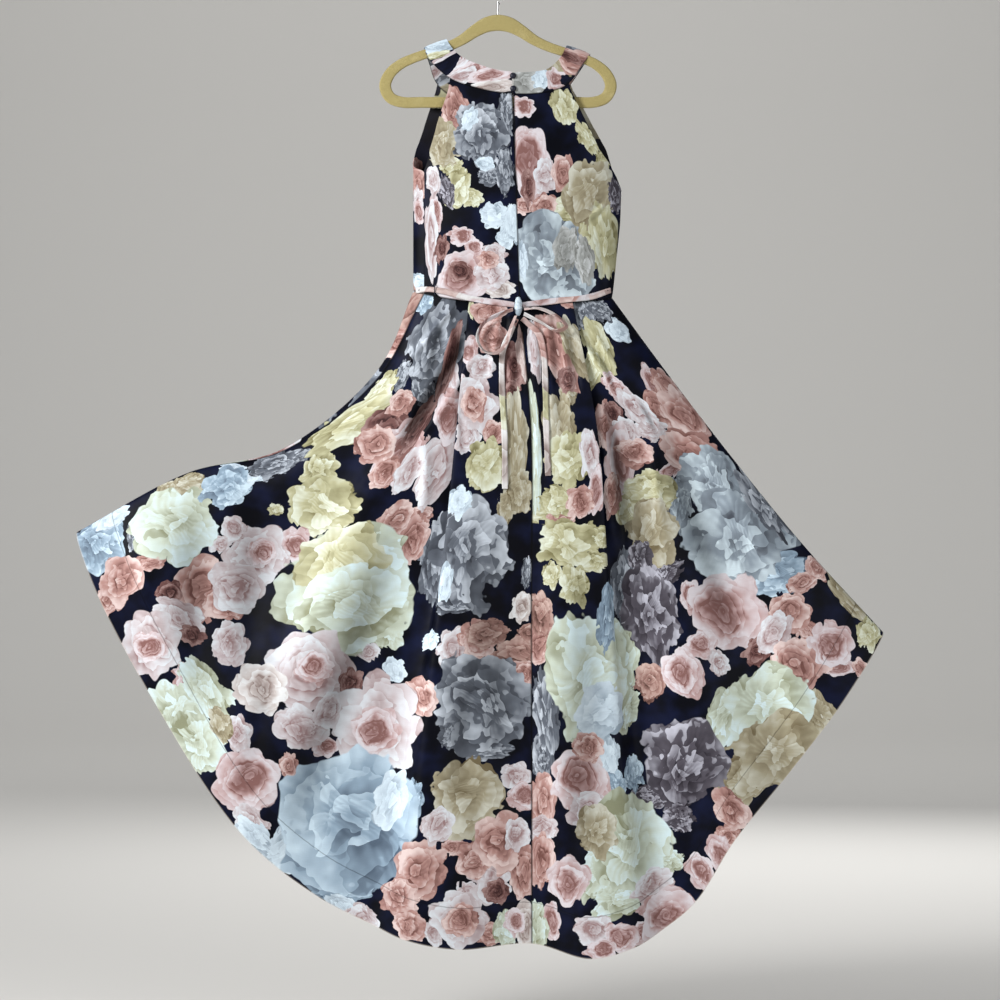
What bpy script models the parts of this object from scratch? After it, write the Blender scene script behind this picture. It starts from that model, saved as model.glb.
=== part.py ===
"""A sleeveless high-low dress with a halter neckband, hanging on a flat velvet hanger, its back outwards.

Frame: metres, +Z up. The back of the dress faces -Y, and +X is to the right of someone looking at it.
The origin is the inside top of the hanger's hook, so the whole dress lies below it.
Every cloth piece is one closed wall, worked out from sections of the dress at rest.
"""

import math
from collections import namedtuple

import bpy
import numpy as np

# ---- driving sizes ----------------------------------------------------------------------------
CLOTH = 0.0012  # wall of each cloth piece
SEAM = 0.0003  # gap left where two pieces meet
BIAS = 0.0006  # a piece that lies on another stands this far off it

WAIST_X = 0.023  # middle of the waist
WAIST_Z = -0.527  # height of the waist at the back
WAIST_BACK_DIP = 0.008  # the waist seam sinks here at centre back
WAIST_LEFT_LIFT = 0.015
WAIST_RIGHT_LIFT = 0.003
LEFT_SEAM = 297.0  # turn of the left side seam, degrees from centre back towards +X
RIGHT_SEAM = 90.0

BODICE_ROWS = 12  # wall divisions from waist to neckband
BODICE_COLUMNS = (9, 10, 18)  # wall divisions across the left back, right back and front pieces
SKIRT_ROWS = 18  # wall divisions from waist to hem
SKIRT_CROWD = 1.1  # the rows crowd a little towards the waist
FOLD_STEPS = 3  # wall divisions between two fold lines
HIP, THIGH, KNEE = 0.2, 0.45, 0.7  # shares of each fold line's length
MIDRIFF = 0.33  # the waist seam's curve fades out over this share of the bodice
YOKE = 0.62  # above this share the bodice is drawn in to the neckband

ZIP_WIDTH = 0.012
BUTTON_RADIUS = 0.005
BUTTON_HEIGHT = 0.0041
BUTTON_FLAT = 0.25  # share of a button's radius that is flat on top
TIE_WIDTH = 0.0115
TIE_THICK = 0.0024

HANGER_HALF_THICK = 0.003
HOOK_RADIUS = 0.020
HOOK_WIRE = 0.0017
HOOK_TURN = (-62, 200, 16)  # degrees where the hook's ring begins and ends, and its step
STEM_TOP = -0.0457

# ---- the torso, as level sections from the waist up --------------------------------------------
Section = namedtuple("Section", "name z centre half_width back_depth front_depth")
TORSO = (
    Section("waist", -0.540, 0.023, 0.159, 0.034, 0.036),
    Section("midriff", -0.463, 0.027, 0.163, 0.038, 0.042),
    Section("rib", -0.407, 0.030, 0.166, 0.042, 0.050),
    Section("bust", -0.351, 0.031, 0.167, 0.042, 0.052),
    Section("underarm", -0.319, 0.025, 0.161, 0.036, 0.044),
    Section("armhole", -0.287, 0.022, 0.160, 0.030, 0.036),
    Section("yoke", -0.247, 0.018, 0.147, 0.022, 0.027),
    Section("neck", -0.191, 0.016, 0.130, 0.0165, 0.022),
    Section("top", -0.140, 0.016, 0.125, 0.0120, 0.016),
)

TORSO_MIDDLE = (0.02, 0.0, -0.35)

# Edges of the bodice pieces: heights up each side seam, then the armholes above it.
LEFT_SEAM_HEIGHTS = (-0.415, -0.351, -0.325)
RIGHT_SEAM_HEIGHTS = (-0.447, -0.383, -0.350)
Edge = namedtuple("Edge", "x z")
BACK_LEFT_EDGE = (
    Edge(-0.1145, -0.312),
    Edge(-0.110, -0.295),
    Edge(-0.104, -0.271),
    Edge(-0.093, -0.231),
    Edge(-0.083, -0.202),
    Edge(-0.077, -0.173),
)
BACK_RIGHT_EDGE = (
    Edge(0.183, -0.319),
    Edge(0.163, -0.287),
    Edge(0.146, -0.252),
    Edge(0.124, -0.207),
    Edge(0.114, -0.181),
)
# The front piece reaches round the left side, so its edges are given as turns.
FrontEdge = namedtuple("FrontEdge", "turn z")
FRONT_LEFT_EDGE = (
    FrontEdge(272, -0.312),
    FrontEdge(256, -0.292),
    FrontEdge(249, -0.262),
    FrontEdge(244, -0.231),
    FrontEdge(239, -0.202),
    FrontEdge(236, -0.181),
)
FRONT_RIGHT_EDGE = (
    FrontEdge(100, -0.319),
    FrontEdge(108, -0.287),
    FrontEdge(113, -0.252),
    FrontEdge(121, -0.207),
    FrontEdge(127, -0.181),
)
CENTRE_BACK_TOP = Edge(0.024, -0.198)
CENTRE_BACK_WAIST = Edge(0.035, -0.535)

# ---- the neckband, as rungs from its slit round to the right -----------------------------------
Rung = namedtuple("Rung", "name inner_x inner_z outer_x outer_z y")
NECKBAND = (
    Rung("slit right", 0.0248, -0.1644, 0.0252, -0.1984, -0.0165),
    Rung("back right", 0.0512, -0.1636, 0.0528, -0.1984, -0.0160),
    Rung("back side right", 0.0784, -0.1588, 0.0864, -0.1935, -0.0140),
    Rung("rise right", 0.0944, -0.1460, 0.1136, -0.1812, -0.0108),
    Rung("behind arm right", 0.1040, -0.1330, 0.1350, -0.1520, -0.0082),
    Rung("over arm right", 0.1104, -0.1186, 0.1488, -0.1334, 0.0000),
    Rung("front arm right", 0.1040, -0.1340, 0.1370, -0.1520, 0.0082),
    Rung("front side right", 0.0928, -0.1524, 0.1168, -0.1812, 0.0125),
    Rung("front right", 0.0640, -0.1812, 0.0848, -0.2132, 0.0180),
    Rung("centre front", 0.0192, -0.1908, 0.0192, -0.2260, 0.0215),
    Rung("front left", -0.0256, -0.1812, -0.0448, -0.2132, 0.0185),
    Rung("front side left", -0.0624, -0.1460, -0.0976, -0.1812, 0.0125),
    Rung("front arm left", -0.0768, -0.1252, -0.1120, -0.1440, 0.0082),
    Rung("over arm left", -0.0832, -0.1088, -0.1192, -0.1222, 0.0000),
    Rung("behind arm left", -0.0736, -0.1244, -0.1104, -0.1428, -0.0082),
    Rung("rise left", -0.0560, -0.1400, -0.0768, -0.1732, -0.0112),
    Rung("back side left", -0.0256, -0.1532, -0.0320, -0.1892, -0.0145),
    Rung("back left", 0.0000, -0.1604, -0.0016, -0.1956, -0.0162),
    Rung("slit left", 0.0224, -0.1636, 0.0224, -0.1976, -0.0165),
)
RIGHT_RISE, LEFT_RISE = 3, 15  # rungs where the bodice corners meet the band
FRONT_RIGHT_RISE, FRONT_LEFT_RISE = 7, 11

# ---- the skirt, as fold lines from centre back round to the right ------------------------------
# turn: where the line leaves the waist; tuck: how far its pleat lies inside there.
# out, down: from the middle of the waist; deep: the y of the line; sag: how far the line hangs
# below a straight run from hip to hem.
Fold = namedtuple(
    "Fold",
    "name turn tuck hip_out hip_down hip_deep hem_out hem_down hem_deep thigh_sag knee_sag",
)
FOLDS = (
    Fold("centre back", 4, 0.000, 0.030, 0.213, -0.046, 0.031, 1.030, -0.030, 0, 0),
    Fold("right of centre", 21, 0.000, 0.084, 0.211, -0.050, 0.124, 1.051, -0.062, 0, 0),
    Fold("right pleat edge", 37, 0.000, 0.135, 0.208, -0.048, 0.193, 1.034, -0.058, 0, 0),
    Fold("right pleat back", 29, 0.006, 0.116, 0.205, -0.036, 0.243, 1.006, -0.026, 0, 0),
    Fold("right pleat under", 41, 0.006, 0.167, 0.192, -0.038, 0.291, 0.965, -0.030, 0, 0),
    Fold("right flank", 52, 0.001, 0.199, 0.171, -0.036, 0.353, 0.864, -0.056, 0, 0.004),
    Fold("right sweep", 62, 0.000, 0.223, 0.147, -0.030, 0.444, 0.755, -0.028, 0.004, 0.008),
    Fold("right wing", 74, 0.000, 0.239, 0.126, -0.017, 0.534, 0.635, -0.030, 0.009, 0.012),
    Fold("right seam", 90, 0.000, 0.245, 0.112, 0.000, 0.595, 0.533, 0.000, 0.011, 0.014),
    Fold("front right wing", 108, 0.000, 0.236, 0.116, 0.017, 0.566, 0.552, 0.024, 0.010, 0.014),
    Fold("front right sweep", 128, 0.000, 0.204, 0.134, 0.032, 0.484, 0.568, 0.020, 0, 0.006),
    Fold("front right flank", 145, 0.000, 0.159, 0.157, 0.042, 0.372, 0.595, 0.050, 0, 0),
    Fold("front right", 162, 0.000, 0.092, 0.179, 0.046, 0.204, 0.624, 0.036, 0, 0),
    Fold("centre front", 180, 0.000, 0.007, 0.189, 0.050, 0.004, 0.635, 0.060, 0, 0),
    Fold("front left", 198, 0.000, -0.071, 0.179, 0.046, -0.188, 0.621, 0.034, 0, 0),
    Fold("front left flank", 215, 0.000, -0.132, 0.160, 0.042, -0.340, 0.589, 0.052, 0.004, 0.002),
    Fold("front left sweep", 235, 0.000, -0.173, 0.138, 0.034, -0.476, 0.531, 0.026, 0.014, 0.006),
    Fold("front left wing", 255, 0.000, -0.196, 0.122, 0.022, -0.588, 0.464, 0.030, 0.026, 0.006),
    Fold("left side", 276, 0.000, -0.214, 0.110, 0.008, -0.664, 0.402, 0.014, 0.034, 0.000),
    Fold("left seam", 297, 0.000, -0.218, 0.128, -0.004, -0.698, 0.372, 0.000, 0.038, -0.004),
    Fold("left wing", 304, 0.000, -0.208, 0.151, -0.020, -0.672, 0.452, -0.026, 0.030, 0.004),
    Fold("left sweep", 313, 0.000, -0.191, 0.178, -0.030, -0.580, 0.632, -0.020, 0.010, 0),
    Fold("left flank", 321, 0.001, -0.167, 0.198, -0.036, -0.431, 0.854, -0.050, 0, 0),
    Fold("left pleat under", 328, 0.006, -0.132, 0.208, -0.038, -0.311, 0.955, -0.028, 0, 0),
    Fold("left pleat back", 340, 0.006, -0.071, 0.208, -0.036, -0.228, 0.998, -0.024, 0, 0),
    Fold("left pleat edge", 334, 0.000, -0.090, 0.210, -0.048, -0.169, 1.022, -0.060, 0, 0),
    Fold("left of centre", 347, 0.000, -0.033, 0.211, -0.050, -0.087, 1.037, -0.056, 0, 0),
)
RIGHT_SEAM_FOLD = 8
LEFT_SEAM_FOLD = 19

# ---- the waist tie, as routes of (x, z) ----------------------------------------------------------
LEFT_STRAND = ((-0.1300, -0.5130), (-0.1120, -0.5118), (-0.0880, -0.5150), (-0.0448, -0.5268), (0.0259, -0.5374))
RIGHT_STRAND = ((0.1790, -0.5130), (0.1472, -0.5240), (0.0992, -0.5300), (0.0391, -0.5374))
LEFT_LOOP = (
    (0.0239, -0.5452),
    (0.0032, -0.5524),
    (-0.0224, -0.5668),
    (-0.0328, -0.5908),
    (-0.0224, -0.6110),
    (-0.0032, -0.6148),
    (0.0128, -0.6004),
    (0.0190, -0.5800),
    (0.0281, -0.5556),
)
RIGHT_LOOP = (
    (0.0415, -0.5446),
    (0.0640, -0.5432),
    (0.0928, -0.5556),
    (0.1088, -0.5725),
    (0.0928, -0.5790),
    (0.0688, -0.5660),
    (0.0413, -0.5520),
)
LEFT_TAIL = (
    (0.0290, -0.5596),
    (0.0192, -0.5828),
    (0.0080, -0.6100),
    (0.0064, -0.6676),
    (0.0104, -0.7492),
    (0.0112, -0.8308),
)
RIGHT_TAIL = (
    (0.0386, -0.5590),
    (0.0510, -0.5700),
    (0.0640, -0.5830),
    (0.0720, -0.6100),
    (0.0752, -0.6628),
    (0.0768, -0.7348),
    (0.0800, -0.8100),
)
KNOT = Edge(0.0325, -0.5400)
KNOT_HALF_WIDTH = 0.0085
KNOT_HALF_HEIGHT = 0.0170
KNOT_HALF_DEPTH = 0.0065
KNOT_LIFT = 0.0066  # its middle stands this far off the waist
KNOT_TAPER = 0.93  # how nearly its ends close to a point
BOW_LIFT = 0.0045
BOW_TILT = math.radians(38)  # the bow's loops stand part way on edge
LOOP_AT = Edge(-0.100, -0.5128)  # the thread loop over the left strand
LOOP_HALF_HEIGHT = 0.0085
LOOP_WIRE = 0.0016

# ---- the hanger, as its right half from the top of the arch ---------------------------------------
Bend = namedtuple("Bend", "x z width")
HANGER_HALF = (
    Bend(0.000, -0.0833, 0.0260),
    Bend(0.018, -0.0865, 0.0245),
    Bend(0.036, -0.0960, 0.0205),
    Bend(0.058, -0.1110, 0.0170),
    Bend(0.080, -0.1215, 0.0155),
    Bend(0.105, -0.1300, 0.0150),
    Bend(0.135, -0.1400, 0.0155),
    Bend(0.158, -0.1510, 0.0165),
    Bend(0.174, -0.1660, 0.0180),
    Bend(0.181, -0.1850, 0.0190),
    Bend(0.173, -0.2030, 0.0185),
    Bend(0.155, -0.2105, 0.0178),
    Bend(0.120, -0.2110, 0.0176),
    Bend(0.060, -0.2110, 0.0176),
)
HANGER_BOTTOM = Bend(0.000, -0.2110, 0.0176)

NAVY = (0.012, 0.013, 0.032)
PRINT = (0.42, 0.36, 0.33)
ROSE = (0.55, 0.33, 0.29)
VELVET = (0.45, 0.36, 0.13)
STEEL = (0.62, 0.62, 0.60)


# ---- general helpers ----------------------------------------------------------------------------
def material(name, colour, roughness, metallic=0.0):
    made = bpy.data.materials.new(name)
    made.use_nodes = True
    shader = made.node_tree.nodes["Principled BSDF"]
    shader.inputs["Base Color"].default_value = (*colour, 1)
    shader.inputs["Roughness"].default_value = roughness
    shader.inputs["Metallic"].default_value = metallic
    made.diffuse_color = (*colour, 1)
    return made


def unit(v):
    v = np.asarray(v, float)
    return v / max(np.linalg.norm(v), 1e-12)


def spline(points, s, closed=False):
    """The place at row s (a row number plus a fraction) on a smooth curve through the rows."""
    points = np.asarray(points, float)
    count = len(points)
    last = count if closed else count - 1
    row = min(int(math.floor(s)), last - 1)
    if closed:
        p0, p1, p2, p3 = (points[(row + k) % count] for k in (-1, 0, 1, 2))
    else:
        p1, p2 = points[row], points[row + 1]
        p0 = points[row - 1] if row > 0 else 2 * p1 - p2
        p3 = points[row + 2] if row + 2 < count else 2 * p2 - p1
    t0 = 0.0
    t1 = t0 + math.sqrt(np.linalg.norm(p1 - p0)) + 1e-6
    t2 = t1 + math.sqrt(np.linalg.norm(p2 - p1)) + 1e-6
    t3 = t2 + math.sqrt(np.linalg.norm(p3 - p2)) + 1e-6
    t = t1 + (s - row) * (t2 - t1)
    a1 = (t1 - t) / (t1 - t0) * p0 + (t - t0) / (t1 - t0) * p1
    a2 = (t2 - t) / (t2 - t1) * p1 + (t - t1) / (t2 - t1) * p2
    a3 = (t3 - t) / (t3 - t2) * p2 + (t - t2) / (t3 - t2) * p3
    b1 = (t2 - t) / (t2 - t0) * a1 + (t - t0) / (t2 - t0) * a2
    b2 = (t3 - t) / (t3 - t1) * a2 + (t - t1) / (t3 - t1) * a3
    return (t2 - t) / (t2 - t1) * b1 + (t - t1) / (t2 - t1) * b2


def edge_at(rows, h):
    """The place at share h of a row list, curved but never swinging past a row."""
    rows = np.asarray(rows, float)
    steps = np.diff(rows, axis=0)
    slopes = np.zeros_like(rows)
    slopes[0], slopes[-1] = steps[0], steps[-1]
    before, after = steps[:-1], steps[1:]
    same_way = before * after > 0
    mean = 2 * before * after / np.where(same_way, before + after, 1.0)
    slopes[1:-1] = np.where(same_way, mean, 0.0)
    s = min(max(h, 0.0), 1.0) * (len(rows) - 1)
    row = min(int(s), len(rows) - 2)
    u = s - row
    rise = u * u * (3 - 2 * u)
    return (
        rows[row] * (1 - rise)
        + rows[row + 1] * rise
        + slopes[row] * u * (1 - u) ** 2
        - slopes[row + 1] * u * u * (1 - u)
    )


def smooth_step(x):
    x = min(max(x, 0.0), 1.0)
    return x * x * (3 - 2 * x)


def add_object(name, points, faces, finish):
    """One closed body whose faces point outwards."""
    points = np.asarray(points, float)
    volume = 0.0
    for face in faces:
        a = points[face[0]]
        for k in range(1, len(face) - 1):
            volume += np.dot(a, np.cross(points[face[k]], points[face[k + 1]]))
    if volume < 0:
        faces = [tuple(reversed(face)) for face in faces]
    mesh = bpy.data.meshes.new(name)
    mesh.from_pydata([tuple(p) for p in points], [], faces)
    mesh.materials.append(finish)
    mesh.shade_smooth()
    mesh.set_sharp_from_angle(angle=math.radians(50))
    made = bpy.data.objects.new(name, mesh)
    bpy.context.scene.collection.objects.link(made)
    return made


def normals_of(grid):
    """Unit normals of a grid of points, by the differences across it."""
    across = np.gradient(grid, axis=1)
    along = np.gradient(grid, axis=0)
    found = np.cross(across, along)
    return found / np.maximum(np.linalg.norm(found, axis=2, keepdims=True), 1e-12)


def draw_in(grid, left=0.0, right=0.0, top=0.0, bottom=0.0):
    """Moves the border points of a grid inwards, to leave a seam's gap."""
    grid = grid.copy()
    for amount, edge, inner in (
        (left, np.s_[:, 0], np.s_[:, 1]),
        (right, np.s_[:, -1], np.s_[:, -2]),
        (bottom, np.s_[0], np.s_[1]),
        (top, np.s_[-1], np.s_[-2]),
    ):
        if amount:
            towards = grid[inner] - grid[edge]
            towards /= np.maximum(np.linalg.norm(towards, axis=1, keepdims=True), 1e-12)
            grid[edge] = grid[edge] + towards * amount
    return grid


def wall(name, grid, finish, outward, overhang=0, **seams):
    """A closed wall on a grid of its outer points, facing away from the place named outward.

    The overhang is the number of columns at each side that only serve the normals, so that
    neighbours which share a surface also share their inner face's direction.
    """
    normals = normals_of(grid)
    if np.sum(normals * (grid - np.asarray(outward))) < 0:
        normals = -normals
    if overhang:
        grid = grid[:, overhang:-overhang]
        normals = normals[:, overhang:-overhang]
    grid = draw_in(grid, **seams)
    rows, columns = grid.shape[:2]
    points = np.concatenate([grid.reshape(-1, 3), (grid - normals * CLOTH).reshape(-1, 3)])
    inside = rows * columns

    def at(row, column):
        return row * columns + column

    faces = []
    for r in range(rows - 1):
        for c in range(columns - 1):
            quad = (at(r, c), at(r, c + 1), at(r + 1, c + 1), at(r + 1, c))
            faces.append(quad)
            faces.append(tuple(k + inside for k in reversed(quad)))
    border = [at(0, c) for c in range(columns)]
    border += [at(r, columns - 1) for r in range(1, rows)]
    border += [at(rows - 1, c) for c in range(columns - 2, -1, -1)]
    border += [at(r, 0) for r in range(rows - 2, 0, -1)]
    for a, b in zip(border, border[1:] + border[:1]):
        faces.append((b, a, a + inside, b + inside))
    return add_object(name, points, faces, finish)


def sweep(name, path, widths, flat_dirs, half_widths, half_thicks, finish, closed=False, sides=8):
    """A body of oval sections: widths are the directions of each section's width."""
    points, faces = [], []
    count = len(path)
    for p, w, n, a, b in zip(path, widths, flat_dirs, half_widths, half_thicks):
        for k in range(sides):
            angle = 2 * math.pi * (k + 0.5) / sides
            points.append(np.asarray(p) + a * math.cos(angle) * w + b * math.sin(angle) * n)
    for i in range(count if closed else count - 1):
        j = (i + 1) % count
        for k in range(sides):
            m = (k + 1) % sides
            faces.append((i * sides + k, i * sides + m, j * sides + m, j * sides + k))
    if not closed:
        faces.append(tuple(range(sides - 1, -1, -1)))
        faces.append(tuple(range((count - 1) * sides, count * sides)))
    return add_object(name, points, faces, finish)


# ---- the forms ----------------------------------------------------------------------------------
def torso_outwards(turn, z):
    """The direction straight out of the torso's back at a turn and height."""
    angle = math.radians(turn)
    _, half_width, back, _ = section_at(z)
    return unit((math.sin(angle) / half_width, -math.cos(angle) / back, 0))


def waist_height(turn):
    side = math.sin(math.radians(turn))
    lift = WAIST_RIGHT_LIFT if side > 0 else WAIST_LEFT_LIFT
    return WAIST_Z + lift * side * side - WAIST_BACK_DIP * max(0.0, math.cos(math.radians(turn)))


def section_at(z):
    """Centre, half width and the two depths of the torso at a height."""
    heights = [row.z for row in TORSO]
    values = []
    for field in ("centre", "half_width", "back_depth", "front_depth"):
        values.append(float(np.interp(z, heights, [getattr(row, field) for row in TORSO])))
    return values


def torso(turn, z):
    """A place on the torso: turn runs from centre back round to +X, in degrees."""
    centre, half_width, back, front = section_at(z)
    angle = math.radians(turn)
    depth = back if math.cos(angle) > 0 else front
    return np.array([centre + half_width * math.sin(angle), -depth * math.cos(angle), z])


def turn_of(x, z):
    """The turn of the back's place at x, z."""
    centre, half_width = section_at(z)[:2]
    return math.degrees(math.asin(max(-1.0, min(1.0, (x - centre) / half_width))))


def band_rung(s):
    """The inner and outer end of the neckband's rung at s."""
    rows = [(r.inner_x, r.y, r.inner_z, r.outer_x, r.y, r.outer_z) for r in NECKBAND]
    place = spline(rows, s)
    return place[:3], place[3:]


def fold_points(t):
    """The skirt's fold lines at one share of their length from waist to hem."""
    found = []
    for fold in FOLDS:
        waist_z = waist_height(fold.turn)
        waist = torso(fold.turn, waist_z)
        waist = waist - fold.tuck * np.array([0.0, -math.cos(math.radians(fold.turn)), 0.0])
        stations = [waist]
        for station, sag in ((HIP, 0.0), (THIGH, fold.thigh_sag), (KNEE, fold.knee_sag), (1.0, 0.0)):
            share = (station - HIP) / (1 - HIP)
            out = fold.hip_out + share * (fold.hem_out - fold.hip_out)
            down = fold.hip_down + share * (fold.hem_down - fold.hip_down) + sag
            deep = fold.hip_deep + share * (fold.hem_deep - fold.hip_deep)
            stations.append(np.array([WAIST_X + out, deep, WAIST_Z - down]))
        marks = (0.0, HIP, THIGH, KNEE, 1.0)
        row = max(k for k in range(4) if t >= marks[k] or k == 0)
        s = row + (t - marks[row]) / (marks[row + 1] - marks[row])
        found.append(spline(stations, min(s, 4.0)))
    return found


def skirt_grid(first, last, steps):
    """Outer points of the skirt between two fold lines, and one column past each of them."""
    columns = (last - first) * steps
    grid = np.zeros((SKIRT_ROWS + 1, columns + 3, 3))
    for r in range(SKIRT_ROWS + 1):
        ring = fold_points((r / SKIRT_ROWS) ** SKIRT_CROWD)
        for c in range(columns + 3):
            s = (first + (c - 1) / steps) % len(FOLDS)
            grid[r, c] = spline(ring, s, closed=True)
    return grid


def panel_grid(start, end, top, columns):
    """A bodice piece from its waist up, and one column past each side.

    start and end are its two edges as (turn, height) rows, and top gives the places along its top.
    """
    grid = np.zeros((BODICE_ROWS + 1, columns + 3, 3))
    for r in range(BODICE_ROWS + 1):
        h = r / BODICE_ROWS
        first, last = edge_at(start, h), edge_at(end, h)
        for c in range(columns + 3):
            k = (c - 1) / columns
            turn, level = first + k * (last - first)
            straight = start[0][1] + k * (end[0][1] - start[0][1])
            level += (1 - smooth_step(h / MIDRIFF)) * (waist_height(turn) - straight)
            inside = min(max(k, 0.0), 1.0)
            corner_turn, corner_level = np.array(start[-1]) + inside * np.subtract(end[-1], start[-1])
            pull = smooth_step((h - YOKE) / (1 - YOKE))
            grid[r, c] = torso(turn, level) + pull * (top(inside) - torso(corner_turn, corner_level))
    return grid


# ---- the pieces ---------------------------------------------------------------------------------
def neckband(finish):
    steps = 2
    columns = (len(NECKBAND) - 1) * steps
    grid = np.zeros((3, columns + 1, 3))
    for c in range(columns + 1):
        inner, outer = band_rung(min(c / steps, len(NECKBAND) - 1.0))
        for r in range(3):
            grid[r, c] = outer + (inner - outer) * r / 2
    return wall("neckband", grid, finish, outward=(0.02, 0, -0.20))


def centre_back(z):
    share = (z - CENTRE_BACK_WAIST.z) / (CENTRE_BACK_TOP.z - CENTRE_BACK_WAIST.z)
    return CENTRE_BACK_WAIST.x + share * (CENTRE_BACK_TOP.x - CENTRE_BACK_WAIST.x)


def centre_back_edge():
    """The centre-back edge as (turn, height) rows."""
    rise = CENTRE_BACK_TOP.z - CENTRE_BACK_WAIST.z
    heights = [CENTRE_BACK_WAIST.z + k / 8 * rise for k in range(9)]
    return [(turn_of(centre_back(z), z), z) for z in heights]


def back_bodice(finish):
    """The two back pieces. Their tops follow the neckband's lower edge."""
    middle = centre_back_edge()
    slit = len(NECKBAND) - 1.0
    left = [(LEFT_SEAM - 360, z) for z in (waist_height(LEFT_SEAM), *LEFT_SEAM_HEIGHTS)]
    left += [(turn_of(e.x, e.z), e.z) for e in BACK_LEFT_EDGE]
    grid = panel_grid(left, middle, lambda k: band_rung(LEFT_RISE + k * (slit - LEFT_RISE))[1], BODICE_COLUMNS[0])
    place = {"outward": TORSO_MIDDLE, "overhang": 1, "top": SEAM, "bottom": SEAM / 2}
    wall("back_bodice_left", grid, finish, left=SEAM / 2, right=SEAM, **place)

    right = [(RIGHT_SEAM, z) for z in (waist_height(RIGHT_SEAM), *RIGHT_SEAM_HEIGHTS)]
    right += [(turn_of(e.x, e.z), e.z) for e in BACK_RIGHT_EDGE]
    grid = panel_grid(middle, right, lambda k: band_rung(k * RIGHT_RISE)[1], BODICE_COLUMNS[1])
    wall("back_bodice_right", grid, finish, left=SEAM, right=SEAM / 2, **place)


def front_bodice(finish):
    """One piece from the right side seam round the front to the left side seam."""
    right = [(RIGHT_SEAM, z) for z in (waist_height(RIGHT_SEAM), *RIGHT_SEAM_HEIGHTS)]
    right += [(e.turn, e.z) for e in FRONT_RIGHT_EDGE]
    left = [(LEFT_SEAM, z) for z in (waist_height(LEFT_SEAM), *LEFT_SEAM_HEIGHTS)]
    left += [(e.turn, e.z) for e in FRONT_LEFT_EDGE]
    span = FRONT_LEFT_RISE - FRONT_RIGHT_RISE
    grid = panel_grid(right, left, lambda k: band_rung(FRONT_RIGHT_RISE + k * span)[1], BODICE_COLUMNS[2])
    place = {"outward": TORSO_MIDDLE, "overhang": 1, "top": SEAM, "bottom": SEAM / 2}
    wall("front_bodice", grid, finish, left=SEAM / 2, right=SEAM / 2, **place)


def skirt(finish):
    """Two back pieces joined at centre back, and the shorter front piece between the side seams."""
    for name, first, last, steps in (
        ("skirt_back_right", 0, RIGHT_SEAM_FOLD, FOLD_STEPS),
        ("skirt_front", RIGHT_SEAM_FOLD, LEFT_SEAM_FOLD, FOLD_STEPS - 1),
        ("skirt_back_left", LEFT_SEAM_FOLD, len(FOLDS), FOLD_STEPS),
    ):
        grid = skirt_grid(first, last, steps)
        seams = {"left": SEAM / 2, "right": SEAM / 2, "bottom": SEAM / 2}
        wall(name, grid, finish, outward=(WAIST_X, 0, WAIST_Z - 0.5), overhang=1, **seams)


def zip_tape(finish):
    """The closed zip behind the centre-back seam, as its tape. Its rungs are at the bodice's own rows."""
    middle = centre_back_edge()
    first, last = 1, BODICE_ROWS - 1
    grid = np.zeros((last - first + 1, 3, 3))
    for r in range(first, last + 1):
        z = edge_at(middle, r / BODICE_ROWS)[1]
        for c in range(3):
            x = centre_back(z) + ZIP_WIDTH / 2 * (c - 1)
            grid[r - first, c] = torso(turn_of(x, z), z) + np.array([0, CLOTH + 2 * BIAS, 0])
    wall("zip", grid, finish, outward=(0.02, 0.05, -0.35))


def lift_from(samples, x, z, reach=0.007):
    """The y of the cloth's outermost place near x, z."""
    near = (samples[:, 0] - x) ** 2 + (samples[:, 2] - z) ** 2 < reach * reach
    if near.any():
        return samples[near, 1].min()
    return samples[np.argmin((samples[:, 0] - x) ** 2 + (samples[:, 2] - z) ** 2), 1]


def cloth_samples():
    """Places on the back, close together, that the tie is laid on."""
    found = []
    folds = len(FOLDS)
    for t in np.linspace(0, 0.42, 90):
        ring = fold_points(t)
        for s in np.arange(-6, 6.01, 0.1):
            found.append(spline(ring, s % folds, closed=True))
    for z in np.linspace(-0.545, -0.500, 12):
        for turn in np.arange(-100, 101, 2.0):
            found.append(torso(turn, z))
    return np.array(found)


def ribbon(name, route, samples, finish, lift=0.0, tilt=0.0, steps=2, on_waist=False):
    """A flattened tube of cloth along a route of (x, z), laid on the back. tilt stands it on edge."""
    count = (len(route) - 1) * steps
    flat = [spline(route, min(k / steps, len(route) - 1.0)) for k in range(count + 1)]
    path, outs = [], []
    rise = TIE_WIDTH / 2 * math.sin(tilt) + TIE_THICK / 2 * math.cos(tilt)
    for x, z in flat:
        if on_waist:
            turn = turn_of(x, z)
            out = torso_outwards(turn, z)
            path.append(torso(turn, z) + out * (rise + BIAS))
            outs.append(out)
        else:
            y = lift_from(samples, x, z)
            path.append(np.array([x, y - rise - lift - BIAS, z]))
            outs.append(np.array([0.0, -1.0, 0.0]))
    path = np.array(path)
    for _ in range(3):
        path[1:-1, 1] = np.minimum(path[1:-1, 1], (path[:-2, 1] + path[2:, 1]) / 2)
    along = np.gradient(path, axis=0)
    widths, flats = [], []
    for direction, out in zip(along, outs):
        side = unit(np.cross(unit(direction), out))
        out = unit(np.cross(side, unit(direction)))
        widths.append(side * math.cos(tilt) + out * math.sin(tilt))
        flats.append(out * math.cos(tilt) - side * math.sin(tilt))
    halves = [TIE_WIDTH / 2] * len(path)
    thicks = [TIE_THICK / 2] * len(path)
    sweep(name, path, widths, flats, halves, thicks, finish)


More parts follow.
